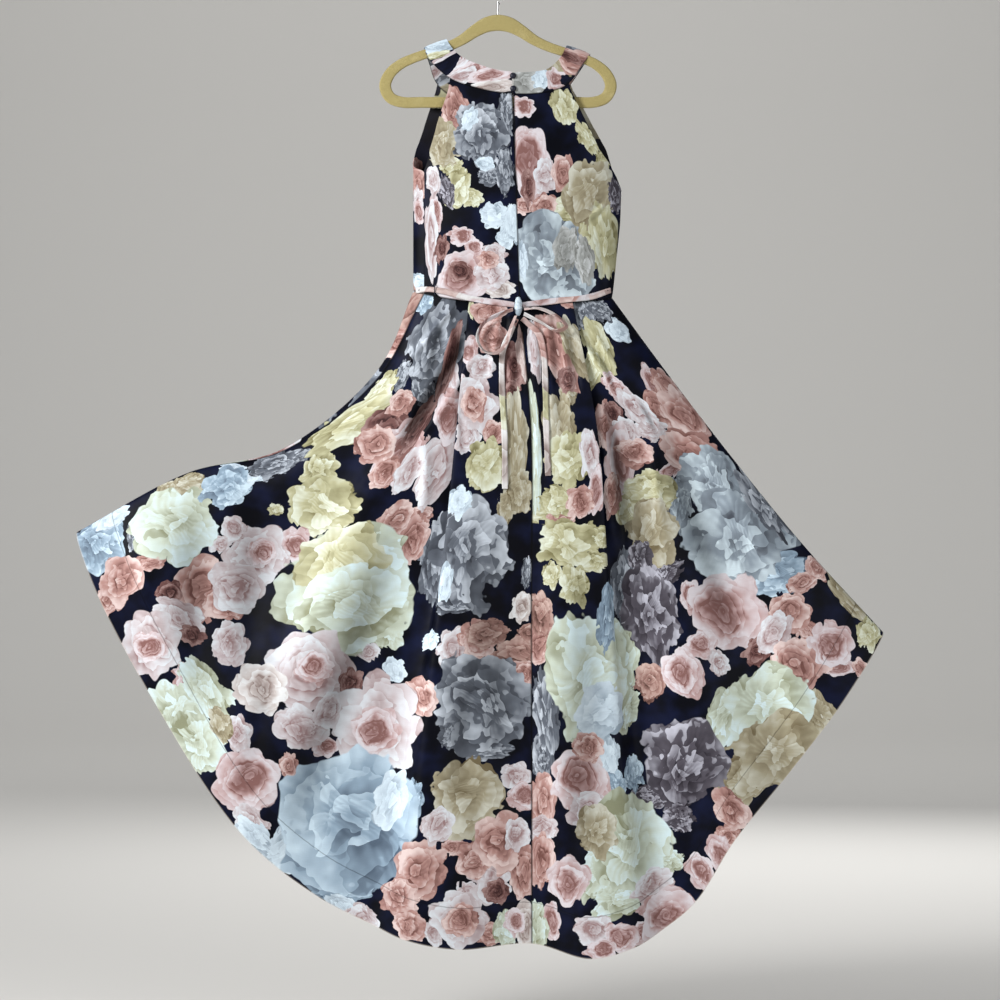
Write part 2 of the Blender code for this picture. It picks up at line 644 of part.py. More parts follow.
def waist_tie(finish):
    samples = cloth_samples()
    ribbon("tie_left", LEFT_STRAND, samples, finish, on_waist=True)
    ribbon("tie_right", RIGHT_STRAND, samples, finish, on_waist=True)
    ribbon("tie_tail_left", LEFT_TAIL, samples, finish)
    ribbon("tie_tail_right", RIGHT_TAIL, samples, finish)
    ribbon("bow_loop_left", LEFT_LOOP, samples, finish, lift=BOW_LIFT, tilt=BOW_TILT)
    ribbon("bow_loop_right", RIGHT_LOOP, samples, finish, lift=BOW_LIFT, tilt=BOW_TILT)
    tie_knot(samples, finish)


def tie_knot(samples, finish):
    """A pulled knot, narrow at both ends."""
    y = lift_from(samples, KNOT.x, KNOT.z) - KNOT_LIFT
    path, halves, thicks = [], [], []
    for share in np.linspace(-1, 1, 9):
        path.append(np.array([KNOT.x, y, KNOT.z + share * KNOT_HALF_HEIGHT]))
        swell = math.sqrt(1 - (share * KNOT_TAPER) ** 2)
        halves.append(KNOT_HALF_WIDTH * swell)
        thicks.append(KNOT_HALF_DEPTH * swell)
    widths = [np.array([1.0, 0.0, 0.0])] * len(path)
    flats = [np.array([0.0, -1.0, 0.0])] * len(path)
    sweep("tie_knot", path, widths, flats, halves, thicks, finish, sides=10)


def belt_loop(finish):
    """A thread loop over the left strand, near the side seam."""
    turn = turn_of(LOOP_AT.x, LOOP_AT.z)
    out = torso_outwards(turn, LOOP_AT.z)
    path = []
    for share in np.linspace(-1, 1, 9):
        bulge = (TIE_THICK + 2 * BIAS) * (1 - share**4)
        place = torso(turn, LOOP_AT.z + share * LOOP_HALF_HEIGHT)
        path.append(place + out * (LOOP_WIRE / 2 + SEAM + bulge))
    along = np.gradient(np.array(path), axis=0)
    side = unit(np.cross(along[4], out))
    flats = [unit(np.cross(side, unit(direction))) for direction in along]
    halves = [LOOP_WIRE / 2] * len(path)
    sweep("belt_loop_left", path, [side] * len(path), flats, halves, halves, finish, sides=6)


def buttons(finish):
    """Two covered buttons on the neckband, across its slit."""
    for name, x, z in (("button_upper", 0.0240, -0.1700), ("button_lower", 0.0244, -0.1905)):
        y = NECKBAND[0].y - BIAS
        path, radii = [], []
        for angle in np.linspace(0, math.pi / 2, 5):
            path.append(np.array([x, y - BUTTON_HEIGHT * math.sin(angle), z]))
            radii.append(BUTTON_RADIUS * max(math.cos(angle), BUTTON_FLAT))
        widths = [np.array([1.0, 0.0, 0.0])] * len(path)
        flats = [np.array([0.0, 0.0, 1.0])] * len(path)
        sweep(name, path, widths, flats, radii, radii, finish, sides=14)


def hanger_body(finish):
    """A closed flat frame: arch, two arms with round ends, and the bar across the bottom."""
    mirrored = [Bend(-b.x, b.z, b.width) for b in reversed(HANGER_HALF[1:])]
    bends = list(HANGER_HALF) + [HANGER_BOTTOM] + mirrored
    rows = [(b.x, b.z, b.width) for b in bends]
    steps = 2
    path, halves = [], []
    for k in range(len(rows) * steps):
        x, z, width = spline(rows, k / steps, closed=True)
        path.append(np.array([x, 0.0, z]))
        halves.append(width / 2)
    widths = []
    count = len(path)
    for k in range(count):
        along = unit(path[(k + 1) % count] - path[k - 1])
        widths.append(np.array([-along[2], 0.0, along[0]]))
    flats = [np.array([0.0, 1.0, 0.0])] * count
    thicks = [HANGER_HALF_THICK] * count
    sweep("hanger_body", path, widths, flats, halves, thicks, finish, closed=True, sides=10)


def hanger_hook(finish):
    """A bent wire whose inside top is the origin."""
    ring = HOOK_RADIUS + HOOK_WIRE
    arch_top = HANGER_HALF[0].z + HANGER_HALF[0].width / 2
    places = [(0.0, arch_top + SEAM), (0.0, (arch_top + STEM_TOP) / 2), (0.0, STEM_TOP)]
    for degrees in range(*HOOK_TURN):
        angle = math.radians(degrees)
        places.append((ring * math.cos(angle), -HOOK_RADIUS + ring * math.sin(angle)))
    curve = bpy.data.curves.new("hanger_hook", "CURVE")
    curve.dimensions = "3D"
    curve.bevel_depth = HOOK_WIRE
    curve.bevel_resolution = 3
    curve.use_fill_caps = True
    line = curve.splines.new("POLY")
    line.points.add(len(places) - 1)
    for point, (x, z) in zip(line.points, places):
        point.co = (x, 0.0, z, 1.0)
    curve.materials.append(finish)
    made = bpy.data.objects.new("hanger_hook", curve)
    bpy.context.scene.collection.objects.link(made)


def build():
    for old in list(bpy.data.objects):
        bpy.data.objects.remove(old, do_unlink=True)
    printed = material("printed satin", PRINT, 0.45)
    tie = material("tie satin", ROSE, 0.45)
    covered = material("navy satin", NAVY, 0.5)
    tape = material("zip tape", NAVY, 0.8)
    velvet = material("ochre velvet", VELVET, 0.9)
    wire = material("bright wire", STEEL, 0.3, 1.0)
    neckband(printed)
    back_bodice(printed)
    front_bodice(printed)
    skirt(printed)
    zip_tape(tape)
    waist_tie(tie)
    belt_loop(covered)
    buttons(covered)
    hanger_body(velvet)
    hanger_hook(wire)


build()
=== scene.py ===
import math
import random
from collections import namedtuple

import bmesh
import bpy
import numpy as np
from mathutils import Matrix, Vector


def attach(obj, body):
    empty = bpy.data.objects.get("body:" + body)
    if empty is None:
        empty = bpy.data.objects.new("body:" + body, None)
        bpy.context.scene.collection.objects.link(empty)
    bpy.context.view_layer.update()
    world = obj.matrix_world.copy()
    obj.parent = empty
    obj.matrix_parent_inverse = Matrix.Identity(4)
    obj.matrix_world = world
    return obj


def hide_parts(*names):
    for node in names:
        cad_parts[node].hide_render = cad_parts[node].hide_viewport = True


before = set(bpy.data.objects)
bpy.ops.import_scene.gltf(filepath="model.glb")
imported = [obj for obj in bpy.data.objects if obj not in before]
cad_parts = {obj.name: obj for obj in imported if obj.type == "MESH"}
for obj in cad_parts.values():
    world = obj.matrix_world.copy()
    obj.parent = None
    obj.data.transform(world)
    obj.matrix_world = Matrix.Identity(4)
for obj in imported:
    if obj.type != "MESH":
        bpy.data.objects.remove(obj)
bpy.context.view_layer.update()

print("frame loaded:", len(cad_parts), "nodes")
scene = bpy.context.scene
scene.view_settings.view_transform = "Standard"  # leaves the cloth's colours as they were mixed
slots = 5  # how many blooms of the print may lie over one small face of cloth

# The torso as level sections from the waist up.
section = namedtuple("section", "z centre halfWidth backDepth frontDepth")
torsoSections = (
    section(-0.540, 0.023, 0.159, 0.034, 0.036),
    section(-0.463, 0.027, 0.163, 0.038, 0.042),
    section(-0.407, 0.030, 0.166, 0.042, 0.050),
    section(-0.351, 0.031, 0.167, 0.042, 0.052),
    section(-0.319, 0.025, 0.161, 0.036, 0.044),
    section(-0.287, 0.022, 0.160, 0.030, 0.036),
    section(-0.247, 0.018, 0.147, 0.022, 0.027),
    section(-0.191, 0.016, 0.130, 0.0165, 0.022),
    section(-0.140, 0.016, 0.125, 0.0120, 0.016),
)
torsoMiddle = (0.02, 0.0, -0.35)
waistX, waistZ = 0.023, -0.527

# Edges of the bodice pieces: (x, z) on the back, (turn, z) on the front.
leftSeamTurn, rightSeamTurn = 297.0, 90.0
leftSeamHeights = (-0.415, -0.351, -0.325)
rightSeamHeights = (-0.447, -0.383, -0.350)
backLeftEdge = (
    (-0.1145, -0.312), (-0.110, -0.295), (-0.104, -0.271), (-0.093, -0.231), (-0.083, -0.202),
    (-0.077, -0.173),
)
backRightEdge = ((0.183, -0.319), (0.163, -0.287), (0.146, -0.252), (0.124, -0.207), (0.114, -0.181))
frontLeftEdge = ((272, -0.312), (256, -0.292), (249, -0.262), (244, -0.231), (239, -0.202), (236, -0.181))
frontRightEdge = ((100, -0.319), (108, -0.287), (113, -0.252), (121, -0.207), (127, -0.181))
centreBackTop, centreBackWaist = (0.024, -0.198), (0.035, -0.535)

# The neckband as rungs from its slit round to the right.
rung = namedtuple("rung", "innerX innerZ outerX outerZ y")
bandRungs = (
    rung(0.0248, -0.1644, 0.0252, -0.1984, -0.0165),  # slit
    rung(0.0512, -0.1636, 0.0528, -0.1984, -0.0160),
    rung(0.0784, -0.1588, 0.0864, -0.1935, -0.0140),
    rung(0.0944, -0.1460, 0.1136, -0.1812, -0.0108),
    rung(0.1040, -0.1330, 0.1350, -0.1520, -0.0082),
    rung(0.1104, -0.1186, 0.1488, -0.1334, 0.0000),  # over the hanger's right arm
    rung(0.1040, -0.1340, 0.1370, -0.1520, 0.0082),
    rung(0.0928, -0.1524, 0.1168, -0.1812, 0.0125),
    rung(0.0640, -0.1812, 0.0848, -0.2132, 0.0180),
    rung(0.0192, -0.1908, 0.0192, -0.2260, 0.0215),  # centre front
    rung(-0.0256, -0.1812, -0.0448, -0.2132, 0.0185),
    rung(-0.0624, -0.1460, -0.0976, -0.1812, 0.0125),
    rung(-0.0768, -0.1252, -0.1120, -0.1440, 0.0082),
    rung(-0.0832, -0.1088, -0.1192, -0.1222, 0.0000),  # over the left arm
    rung(-0.0736, -0.1244, -0.1104, -0.1428, -0.0082),
    rung(-0.0560, -0.1400, -0.0768, -0.1732, -0.0112),
    rung(-0.0256, -0.1532, -0.0320, -0.1892, -0.0145),
    rung(0.0000, -0.1604, -0.0016, -0.1956, -0.0162),
    rung(0.0224, -0.1636, 0.0224, -0.1976, -0.0165),
)
rightRise, leftRise, frontRightRise, frontLeftRise = 3, 15, 7, 11

# The skirt's fold lines, from centre back round to the right.
fold = namedtuple("fold", "turn tuck hipOut hipDown hipDeep hemOut hemDown hemDeep thighSag kneeSag")
folds = (
    fold(4, 0.000, 0.030, 0.213, -0.046, 0.031, 1.030, -0.030, 0, 0),
    fold(21, 0.000, 0.084, 0.211, -0.050, 0.124, 1.051, -0.062, 0, 0),
    fold(37, 0.000, 0.135, 0.208, -0.048, 0.193, 1.034, -0.058, 0, 0),  # right pleat's edge
    fold(29, 0.006, 0.116, 0.205, -0.036, 0.243, 1.006, -0.026, 0, 0),
    fold(41, 0.006, 0.167, 0.192, -0.038, 0.291, 0.965, -0.030, 0, 0),
    fold(52, 0.001, 0.199, 0.171, -0.036, 0.353, 0.864, -0.056, 0, 0.004),
    fold(62, 0.000, 0.223, 0.147, -0.030, 0.444, 0.755, -0.028, 0.004, 0.008),
    fold(74, 0.000, 0.239, 0.126, -0.017, 0.534, 0.635, -0.030, 0.009, 0.012),
    fold(90, 0.000, 0.245, 0.112, 0.000, 0.595, 0.533, 0.000, 0.011, 0.014),  # right side seam
    fold(108, 0.000, 0.236, 0.116, 0.017, 0.566, 0.552, 0.024, 0.010, 0.014),
    fold(128, 0.000, 0.204, 0.134, 0.032, 0.484, 0.568, 0.020, 0, 0.006),
    fold(145, 0.000, 0.159, 0.157, 0.042, 0.372, 0.595, 0.050, 0, 0),
    fold(162, 0.000, 0.092, 0.179, 0.046, 0.204, 0.624, 0.036, 0, 0),
    fold(180, 0.000, 0.007, 0.189, 0.050, 0.004, 0.635, 0.060, 0, 0),  # centre front
    fold(198, 0.000, -0.071, 0.179, 0.046, -0.188, 0.621, 0.034, 0, 0),
    fold(215, 0.000, -0.132, 0.160, 0.042, -0.340, 0.589, 0.052, 0.004, 0.002),
    fold(235, 0.000, -0.173, 0.138, 0.034, -0.476, 0.531, 0.026, 0.014, 0.006),
    fold(255, 0.000, -0.196, 0.122, 0.022, -0.588, 0.464, 0.030, 0.026, 0.006),
    fold(276, 0.000, -0.214, 0.110, 0.008, -0.664, 0.402, 0.014, 0.034, 0.000),
    fold(297, 0.000, -0.218, 0.128, -0.004, -0.698, 0.372, 0.000, 0.038, -0.004),  # left side seam
    fold(304, 0.000, -0.208, 0.151, -0.020, -0.672, 0.452, -0.026, 0.030, 0.004),
    fold(313, 0.000, -0.191, 0.178, -0.030, -0.580, 0.632, -0.020, 0.010, 0),
    fold(321, 0.001, -0.167, 0.198, -0.036, -0.431, 0.854, -0.050, 0, 0),
    fold(328, 0.006, -0.132, 0.208, -0.038, -0.311, 0.955, -0.028, 0, 0),
    fold(340, 0.006, -0.071, 0.208, -0.036, -0.228, 0.998, -0.024, 0, 0),
    fold(334, 0.000, -0.090, 0.210, -0.048, -0.169, 1.022, -0.060, 0, 0),  # left pleat's edge
    fold(347, 0.000, -0.033, 0.211, -0.050, -0.087, 1.037, -0.056, 0, 0),
)
rightSeamFold, leftSeamFold = 8, 19

# The flowers of the print, each with three tones as a screen shows them. around: how many petals go
# round; ragged: how torn the rim is; cup: how dark and deep the heart is; patchy: how far the flower
# breaks into pale and dark patches.
flower = namedtuple("flower", "dark mid light around ragged cup patchy")
flowers = {
    "sky": flower((86, 101, 118), (147, 169, 188), (213, 234, 248), 1.7, 0.08, 0.00, 0.26),
    "salmon": flower((116, 78, 72), (178, 138, 131), (224, 203, 199), 0.9, 0.06, 0.30, 0.00),
    "deep": flower((62, 38, 38), (116, 81, 78), (168, 138, 134), 0.9, 0.05, 0.30, 0.00),
    "blush": flower((134, 96, 92), (188, 158, 157), (220, 213, 218), 0.9, 0.04, 0.60, 0.00),
    "whitePink": flower((154, 126, 126), (198, 187, 190), (221, 225, 231), 1.0, 0.05, 0.30, 0.00),
    "cream": flower((146, 129, 124), (199, 190, 187), (228, 229, 230), 0.9, 0.05, 0.40, 0.00),
    "butter": flower((126, 121, 84), (188, 186, 150), (224, 230, 213), 1.5, 0.09, 0.00, 0.00),
    "ivory": flower((142, 145, 118), (198, 208, 192), (219, 239, 243), 1.6, 0.10, 0.00, 0.00),
    "ochre": flower((116, 104, 78), (166, 158, 133), (209, 209, 195), 1.6, 0.10, 0.00, 0.08),
    "grey": flower((56, 59, 67), (102, 108, 118), (200, 208, 218), 2.0, 0.12, 0.00, 0.52),
    "taupe": flower((44, 40, 47), (86, 82, 91), (190, 190, 202), 2.0, 0.12, 0.00, 0.52),
    "petalWhite": flower((146, 162, 176), (200, 216, 228), (224, 240, 250), 1.0, 0.08, 0.00, 0.00),
    "peach": flower((92, 64, 58), (156, 120, 112), (202, 176, 167), 1.2, 0.12, 0.15, 0.20),
    "ash": flower((112, 113, 110), (162, 165, 163), (208, 212, 214), 1.3, 0.08, 0.00, 0.20),
    "silver": flower((72, 77, 86), (142, 154, 165), (216, 232, 240), 1.7, 0.08, 0.00, 0.34),
    "navy": flower((6, 7, 18), (10, 13, 30), (16, 21, 44), 1.2, 0.06, 0.00, 0.00),
    "pink": flower((136, 108, 103), (192, 167, 162), (222, 211, 208), 1.0, 0.05, 0.00, 0.00),
}
flowerNumber = {name: number for number, name in enumerate(flowers)}

# Blooms on the back of the skirt, the lowest layer first: place and reach in millimetres, turn in
# degrees, and narrow, the width as a share of the length.
bloomRow = namedtuple("bloomRow", "kind x z reach turn narrow")
skirtBlooms = (
    ("ochre", -496, -821, 26, 0, 0.7),
    ("petalWhite", -426, -797, 29, 170, 0.3),
    ("grey", -582, -903, 26, 90, 0.5),
    ("salmon", -557, -949, 29, 10, 0.5),
    ("salmon", -624, -1008, 26, 60, 0.8),
    ("whitePink", -442, -920, 19, 0, 0.9),
    ("whitePink", -413, -1220, 32, 100, 0.7),
    ("salmon", -333, -1272, 22, 90, 0.8),
    ("blush", -275, -1240, 22, 0, 0.9),
    ("petalWhite", -342, -1407, 51, 60, 0.6),
    ("sky", -243, -1461, 58, 10, 0.6),
    ("grey", -99, -946, 74, 90, 0.42),
    ("grey", -74, -1016, 32, 0, 0.5),
    ("ivory", -182, -1052, 42, 130, 0.7),
    ("whitePink", -208, -1092, 22, 0, 0.8),
    ("salmon", -125, -872, 24, 20, 0.7),
    ("whitePink", -74, -655, 35, 80, 0.4),
    ("grey", -118, -671, 38, 90, 0.6),
    ("grey", -154, -652, 32, 60, 0.4),
    ("butter", -186, -668, 42, 40, 0.4),
    ("grey", -67, -1215, 35, 60, 0.7),
    ("sky", -139, -1327, 38, 80, 0.6),
    ("whitePink", -102, -1536, 24, 90, 0.7),
    ("salmon", -74, -1400, 22, 0, 0.7),
    ("whitePink", -48, -1471, 19, 0, 1),
    ("salmon", 123, -527, 24, 0, 0.7),
    ("grey", 136, -546, 34, 90, 0.6),
    ("butter", 150, -642, 38, 75, 0.42),
    ("ochre", 112, -677, 24, 90, 0.6),
    ("salmon", 170, -730, 43, 85, 0.42),
    ("blush", 246, -661, 35, 110, 0.4),
    ("salmon", 259, -706, 38, 120, 0.5),
    ("whitePink", 243, -735, 29, 0, 0.7),
    ("blush", 278, -799, 27, 30, 0.5),
    ("butter", 214, -866, 45, 100, 0.6),
    ("silver", 285, -856, 48, 90, 0.55),
    ("ochre", 16, -855, 32, 80, 0.6),
    ("butter", 67, -866, 42, 0, 0.5),
    ("salmon", 102, -876, 24, 0, 0.6),
    ("butter", 150, -908, 32, 0, 0.7),
    ("butter", 154, -946, 24, 0, 0.8),
    ("butter", 86, -968, 24, 90, 0.7),
    ("grey", 202, -991, 64, 88, 0.42),
    ("taupe", 266, -965, 35, 30, 0.6),
    ("blush", 307, -1002, 29, 90, 0.6),
    ("sky", 445, -965, 61, 10, 0.62),
    ("salmon", 486, -981, 29, 20, 0.6),
    ("salmon", 493, -1055, 32, 150, 0.6),
    ("blush", 544, -1116, 32, 0, 0.45),
    ("ochre", 515, -1192, 48, 120, 0.5),
    ("ivory", 198, -1109, 74, 85, 0.5),
    ("ivory", 205, -1186, 45, 60, 0.6),
    ("petalWhite", 174, -1263, 42, 90, 0.5),
    ("salmon", 67, -1074, 38, 90, 0.75),
    ("peach", 35, -1093, 45, 0, 0.7),
    ("salmon", 42, -1125, 27, 0, 0.8),
    ("grey", -22, -1244, 51, 0, 0.4),
    ("grey", 70, -1260, 45, 90, 0.42),
    ("salmon", 70, -1330, 48, 90, 0.55),
    ("whitePink", 70, -1372, 29, 0, 0.8),
    ("salmon", 42, -1439, 48, 90, 0.55),
    ("cream", 45, -1527, 42, 90, 0.5),
    ("ivory", 163, -1436, 58, 60, 0.6),
    ("ivory", 198, -1479, 51, 20, 0.7),
    ("blush", 85, -1522, 35, 90, 0.5),
    ("salmon", -13, -1541, 24, 0, 0.8),
    ("blush", 230, -1538, 27, 0, 0.8),
    ("sky", 189, -1304, 27, 90, 0.7),
    ("taupe", 240, -1322, 35, 0, 0.6),
    ("ivory", 362, -1192, 58, 70, 0.6),
    ("ochre", 394, -1292, 58, 40, 0.7),
    ("salmon", 366, -1384, 24, 0, 0.8),
    ("blush", 323, -1442, 35, 120, 0.7),
    ("ivory", 272, -1426, 27, 0, 0.8),
    ("sky", -640, -920, 50, 0, 1),
    ("petalWhite", -618, -876, 32, 30, 0.6),
    ("petalWhite", -378, -805, 32, 18, 0.4),
    ("grey", -330, -783, 32, 25, 0.4),
    ("petalWhite", -403, -818, 19, 20, 0.6),
    ("ochre", -499, -828, 35, 10, 0.4),
    ("salmon", -603, -976, 43, 60, 0.9),
    ("ochre", -533, -832, 21, 0, 0.8),
    ("ivory", -517, -890, 74, 0, 0.88),
    ("grey", -362, -792, 43, 18, 0.5),
    ("sky", -434, -829, 42, 10, 0.8),
    ("butter", -285, -802, 32, 80, 0.9),
    ("butter", -280, -856, 59, 0, 0.8),
    ("butter", -355, -864, 13, 0, 0.8),
    ("butter", -230, -725, 83, 36, 0.36),
    ("deep", -179, -738, 48, 50, 0.7),
    ("blush", -157, -775, 61, 65, 0.62),
    ("salmon", -182, -805, 29, 60, 0.8),
    ("salmon", -195, -760, 32, 0, 1),
    ("whitePink", -99, -799, 67, 72, 0.5),
    ("salmon", -162, -879, 35, 45, 0.7),
    ("salmon", -134, -911, 42, 75, 0.6),
    ("blush", -325, -920, 30, 0, 1),
    ("whitePink", -381, -933, 54, 0, 0.9),
    ("blush", -378, -932, 24, 0, 0.9),
    ("whitePink", -422, -895, 22, 0, 1),
    ("salmon", -469, -991, 58, 60, 0.85),
    ("salmon", -435, -1016, 38, 0, 0.8),
    ("whitePink", -418, -988, 48, 0, 0.9),
    ("deep", -525, -997, 22, 0, 1),
    ("whitePink", -509, -1036, 48, 150, 0.6),
    ("deep", -490, -1066, 24, 150, 0.7),
    ("ivory", -242, -989, 115, 20, 0.9),
    ("butter", -250, -952, 80, 0, 0.85),
    ("ivory", -234, -1016, 90, 20, 0.8),
    ("whitePink", -298, -1122, 77, 170, 0.9),
    ("blush", -291, -1116, 32, 0, 0.9),
    ("deep", -235, -1141, 27, 70, 0.75),
    ("whitePink", -314, -1212, 48, 160, 0.8),
    ("whitePink", -269, -1186, 35, 60, 0.7),
    ("whitePink", -554, -1079, 59, 110, 0.9),
    ("blush", -555, -1082, 29, 0, 0.9),
    ("blush", -498, -1130, 24, 0, 1),
    ("whitePink", -429, -1077, 38, 80, 0.85),
    ("ivory", -515, -1192, 61, 125, 0.8),
    ("ivory", -467, -1151, 61, 130, 0.55),
    ("ivory", -477, -1237, 61, 130, 0.7),
    ("ochre", -442, -1205, 32, 120, 0.6),
    ("cream", -378, -1149, 46, 0, 0.95),
    ("petalWhite", -165, -1120, 24, 120, 0.8),
    ("salmon", -125, -1162, 38, 150, 0.8),
    ("whitePink", -189, -1208, 80, 0, 1),
    ("blush", -194, -1216, 43, 0, 0.9),
    ("blush", -400, -1296, 58, 0, 0.95),
    ("whitePink", -394, -1362, 35, 130, 0.7),
    ("sky", -237, -1360, 128, 0, 0.98),
    ("petalWhite", -170, -1327, 54, 70, 0.6),
    ("petalWhite", -387, -1383, 42, 140, 0.5),
    ("petalWhite", -246, -1498, 35, 155, 0.45),
    ("salmon", -126, -1437, 54, 60, 0.9),
    ("salmon", -160, -1480, 38, 0, 0.9),
    ("salmon", -142, -1524, 32, 160, 0.8),
    ("whitePink", -216, -1516, 32, 155, 0.7),
    ("petalWhite", -112, -1072, 22, 20, 0.8),
    ("whitePink", -67, -1087, 38, 70, 0.85),
    ("salmon", -32, -1072, 32, 0, 1),
    ("peach", -18, -1061, 38, 10, 0.6),
    ("grey", -50, -927, 90, 90, 0.84),
    ("petalWhite", -61, -852, 29, 80, 0.7),
    ("petalWhite", -85, -980, 34, 80, 0.38),
    ("grey", -22, -1170, 83, 0, 0.98),
    ("grey", 77, -1186, 77, 95, 0.32),
    ("ochre", -53, -1322, 67, 60, 0.9),
    ("whitePink", -96, -1365, 32, 60, 0.8),
    ("whitePink", -61, -1516, 50, 0, 0.95),
    ("salmon", -59, -1516, 30, 0, 0.95),
    ("whitePink", -10, -1460, 35, 0, 1),
    ("salmon", -40, -1421, 32, 0, 1),
    ("salmon", 3, -1391, 51, 60, 0.9),
    ("ivory", 13, -1532, 32, 90, 0.7),
    ("grey", -98, -599, 90, 57, 0.5),
    ("sky", -118, -527, 32, 62, 0.5),
    # these two narrow dark blooms lie along the left pleat: a painted shadow of its recess, laid into the
    # print
    ("deep", -78, -626, 74, 66, 0.15),
    ("deep", -126, -728, 54, 58, 0.26),
    ("blush", -78, -714, 46, 75, 0.55),
    ("butter", -45, -536, 26, 100, 0.3),
    ("salmon", -14, -549, 30, 20, 0.8),
    ("salmon", -10, -589, 29, 0, 1),
    ("blush", -45, -610, 26, 70, 0.6),
    ("deep", 26, -634, 40, 90, 0.5),
    ("deep", 21, -674, 19, 60, 0.8),
    ("whitePink", -26, -637, 26, 30, 0.8),
    ("blush", -67, -680, 38, 60, 0.5),
    ("whitePink", -48, -744, 35, 80, 0.6),
    ("whitePink", -35, -696, 46, 85, 0.8),
    ("salmon", -38, -696, 29, 85, 0.75),
    ("salmon", -6, -743, 24, 70, 0.8),
    ("salmon", -155, -693, 27, 40, 0.8),
    ("butter", -18, -792, 48, 75, 0.7),
    ("ochre", 27, -760, 90, 88, 0.24),
    ("ochre", 35, -836, 38, 90, 0.6),
    ("whitePink", -142, -802, 45, 65, 0.45),
    ("pink", 40, -616, 48, 90, 0.22),
    ("whitePink", 58, -610, 54, 88, 0.2),
    ("ivory", 58, -770, 115, 90, 0.1),
    ("salmon", 96, -613, 70, 105, 0.42),
    ("deep", 109, -658, 24, 80, 0.7),
    ("ochre", 98, -740, 67, 90, 0.42),
    ("butter", 112, -783, 48, 80, 0.85),
    ("butter", 93, -852, 30, 0, 0.9),
    ("whitePink", 146, -776, 42, 95, 0.4),
    ("blush", 157, -834, 45, 80, 0.35),
    ("salmon", 131, -852, 29, 80, 0.85),
    ("ochre", 126, -607, 58, 110, 0.34),
    ("butter", 162, -607, 54, 112, 0.42),
    ("petalWhite", 192, -578, 26, 140, 0.7),
    ("grey", 165, -546, 26, 140, 0.6),
    ("blush", 181, -661, 22, 130, 0.6),
    ("butter", 109, -919, 51, 0, 0.8),
    ("butter", 165, -912, 14, 90, 0.8),
    ("butter", 120, -984, 37, 90, 0.7),
    ("cream", 38, -1020, 26, 80, 0.7),
    ("peach", 69, -1029, 38, 100, 0.55),
    ("peach", 51, -1061, 22, 0, 0.8),
    ("grey", 46, -965, 26, 85, 0.35),
    ("ivory", 144, -1128, 106, 90, 0.74),
    ("petalWhite", 163, -1186, 54, 60, 0.8),
    ("blush", 192, -674, 21, 120, 0.7),
    ("deep", 184, -711, 22, 110, 0.7),
    ("whitePink", 205, -740, 27, 120, 0.75),
    ("blush", 195, -783, 61, 85, 0.42),
    ("salmon", 218, -773, 29, 0, 0.9),
    ("salmon", 182, -839, 38, 80, 0.4),
    ("whitePink", 218, -701, 40, 130, 0.45),
    ("salmon", 272, -668, 38, 130, 0.6),
    ("salmon", 301, -712, 54, 130, 0.6),
    ("salmon", 310, -775, 54, 150, 0.7),
    ("butter", 246, -834, 40, 10, 0.8),
    ("ochre", 246, -900, 56, 85, 0.72),
    ("taupe", 227, -943, 32, 90, 0.7),
    ("taupe", 243, -1029, 80, 95, 0.6),
    ("sky", 179, -1029, 61, 85, 0.36),
    ("silver", 349, -824, 70, 130, 0.75),
    ("silver", 384, -911, 96, 150, 0.9),
    ("grey", 426, -853, 74, 125, 0.34),
    ("blush", 366, -1028, 66, 0, 1),
    ("blush", 325, -1079, 29, 0, 0.9),
    ("whitePink", 352, -1108, 24, 120, 0.7),
    ("deep", 414, -1090, 27, 60, 0.8),
    ("salmon", 467, -1028, 37, 0, 0.9),
    ("whitePink", 442, -1061, 40, 60, 0.7),
    ("salmon", 477, -1114, 50, 150, 0.9),
    ("blush", 534, -1079, 40, 0, 0.95),
    ("ochre", 562, -1004, 54, 130, 0.4),
    ("butter", 595, -1063, 29, 90, 0.8),
    ("salmon", 510, -959, 24, 130, 0.8),
    ("salmon", 582, -1119, 22, 130, 0.6),
    ("peach", 242, -1138, 32, 90, 0.8),
    ("blush", 294, -1125, 46, 120, 0.75),
    ("ivory", 429, -1176, 80, 20, 0.9),
    ("ochre", 445, -1250, 83, 20, 0.85),
    ("whitePink", 30, -1288, 26, 0, 1),
    ("blush", 40, -1322, 27, 0, 0.9),
    ("blush", 130, -1296, 56, 100, 0.9),
    ("whitePink", 144, -1343, 38, 0, 0.8),
    ("salmon", 144, -1242, 26, 0, 1),
    ("taupe", 298, -1271, 80, 90, 0.95),
    ("taupe", 288, -1357, 30, 0, 0.8),
    ("sky", 218, -1284, 30, 90, 0.7),
    ("ivory", 211, -1396, 93, 110, 0.8),
    ("ochre", 157, -1373, 43, 90, 0.8),
    ("whitePink", 30, -1383, 29, 90, 0.8),
    ("deep", -3, -1472, 22, 0, 1),
    ("salmon", 70, -1424, 48, 90, 0.5),
    ("blush", 112, -1455, 43, 80, 0.9),
    ("salmon", 370, -1340, 43, 130, 0.6),
    ("blush", 354, -1412, 35, 120, 0.7),
    ("whitePink", 246, -1464, 42, 30, 0.7),
    ("blush", 267, -1506, 54, 20, 0.8),
    ("ivory", 58, -1532, 46, 90, 0.5),
    ("blush", 26, -1522, 24, 90, 0.8),
    ("whitePink", 150, -1532, 35, 0, 0.8),
    ("blush", 197, -1544, 32, 0, 0.8),
    ("blush", 163, -1564, 27, 0, 0.7),
)

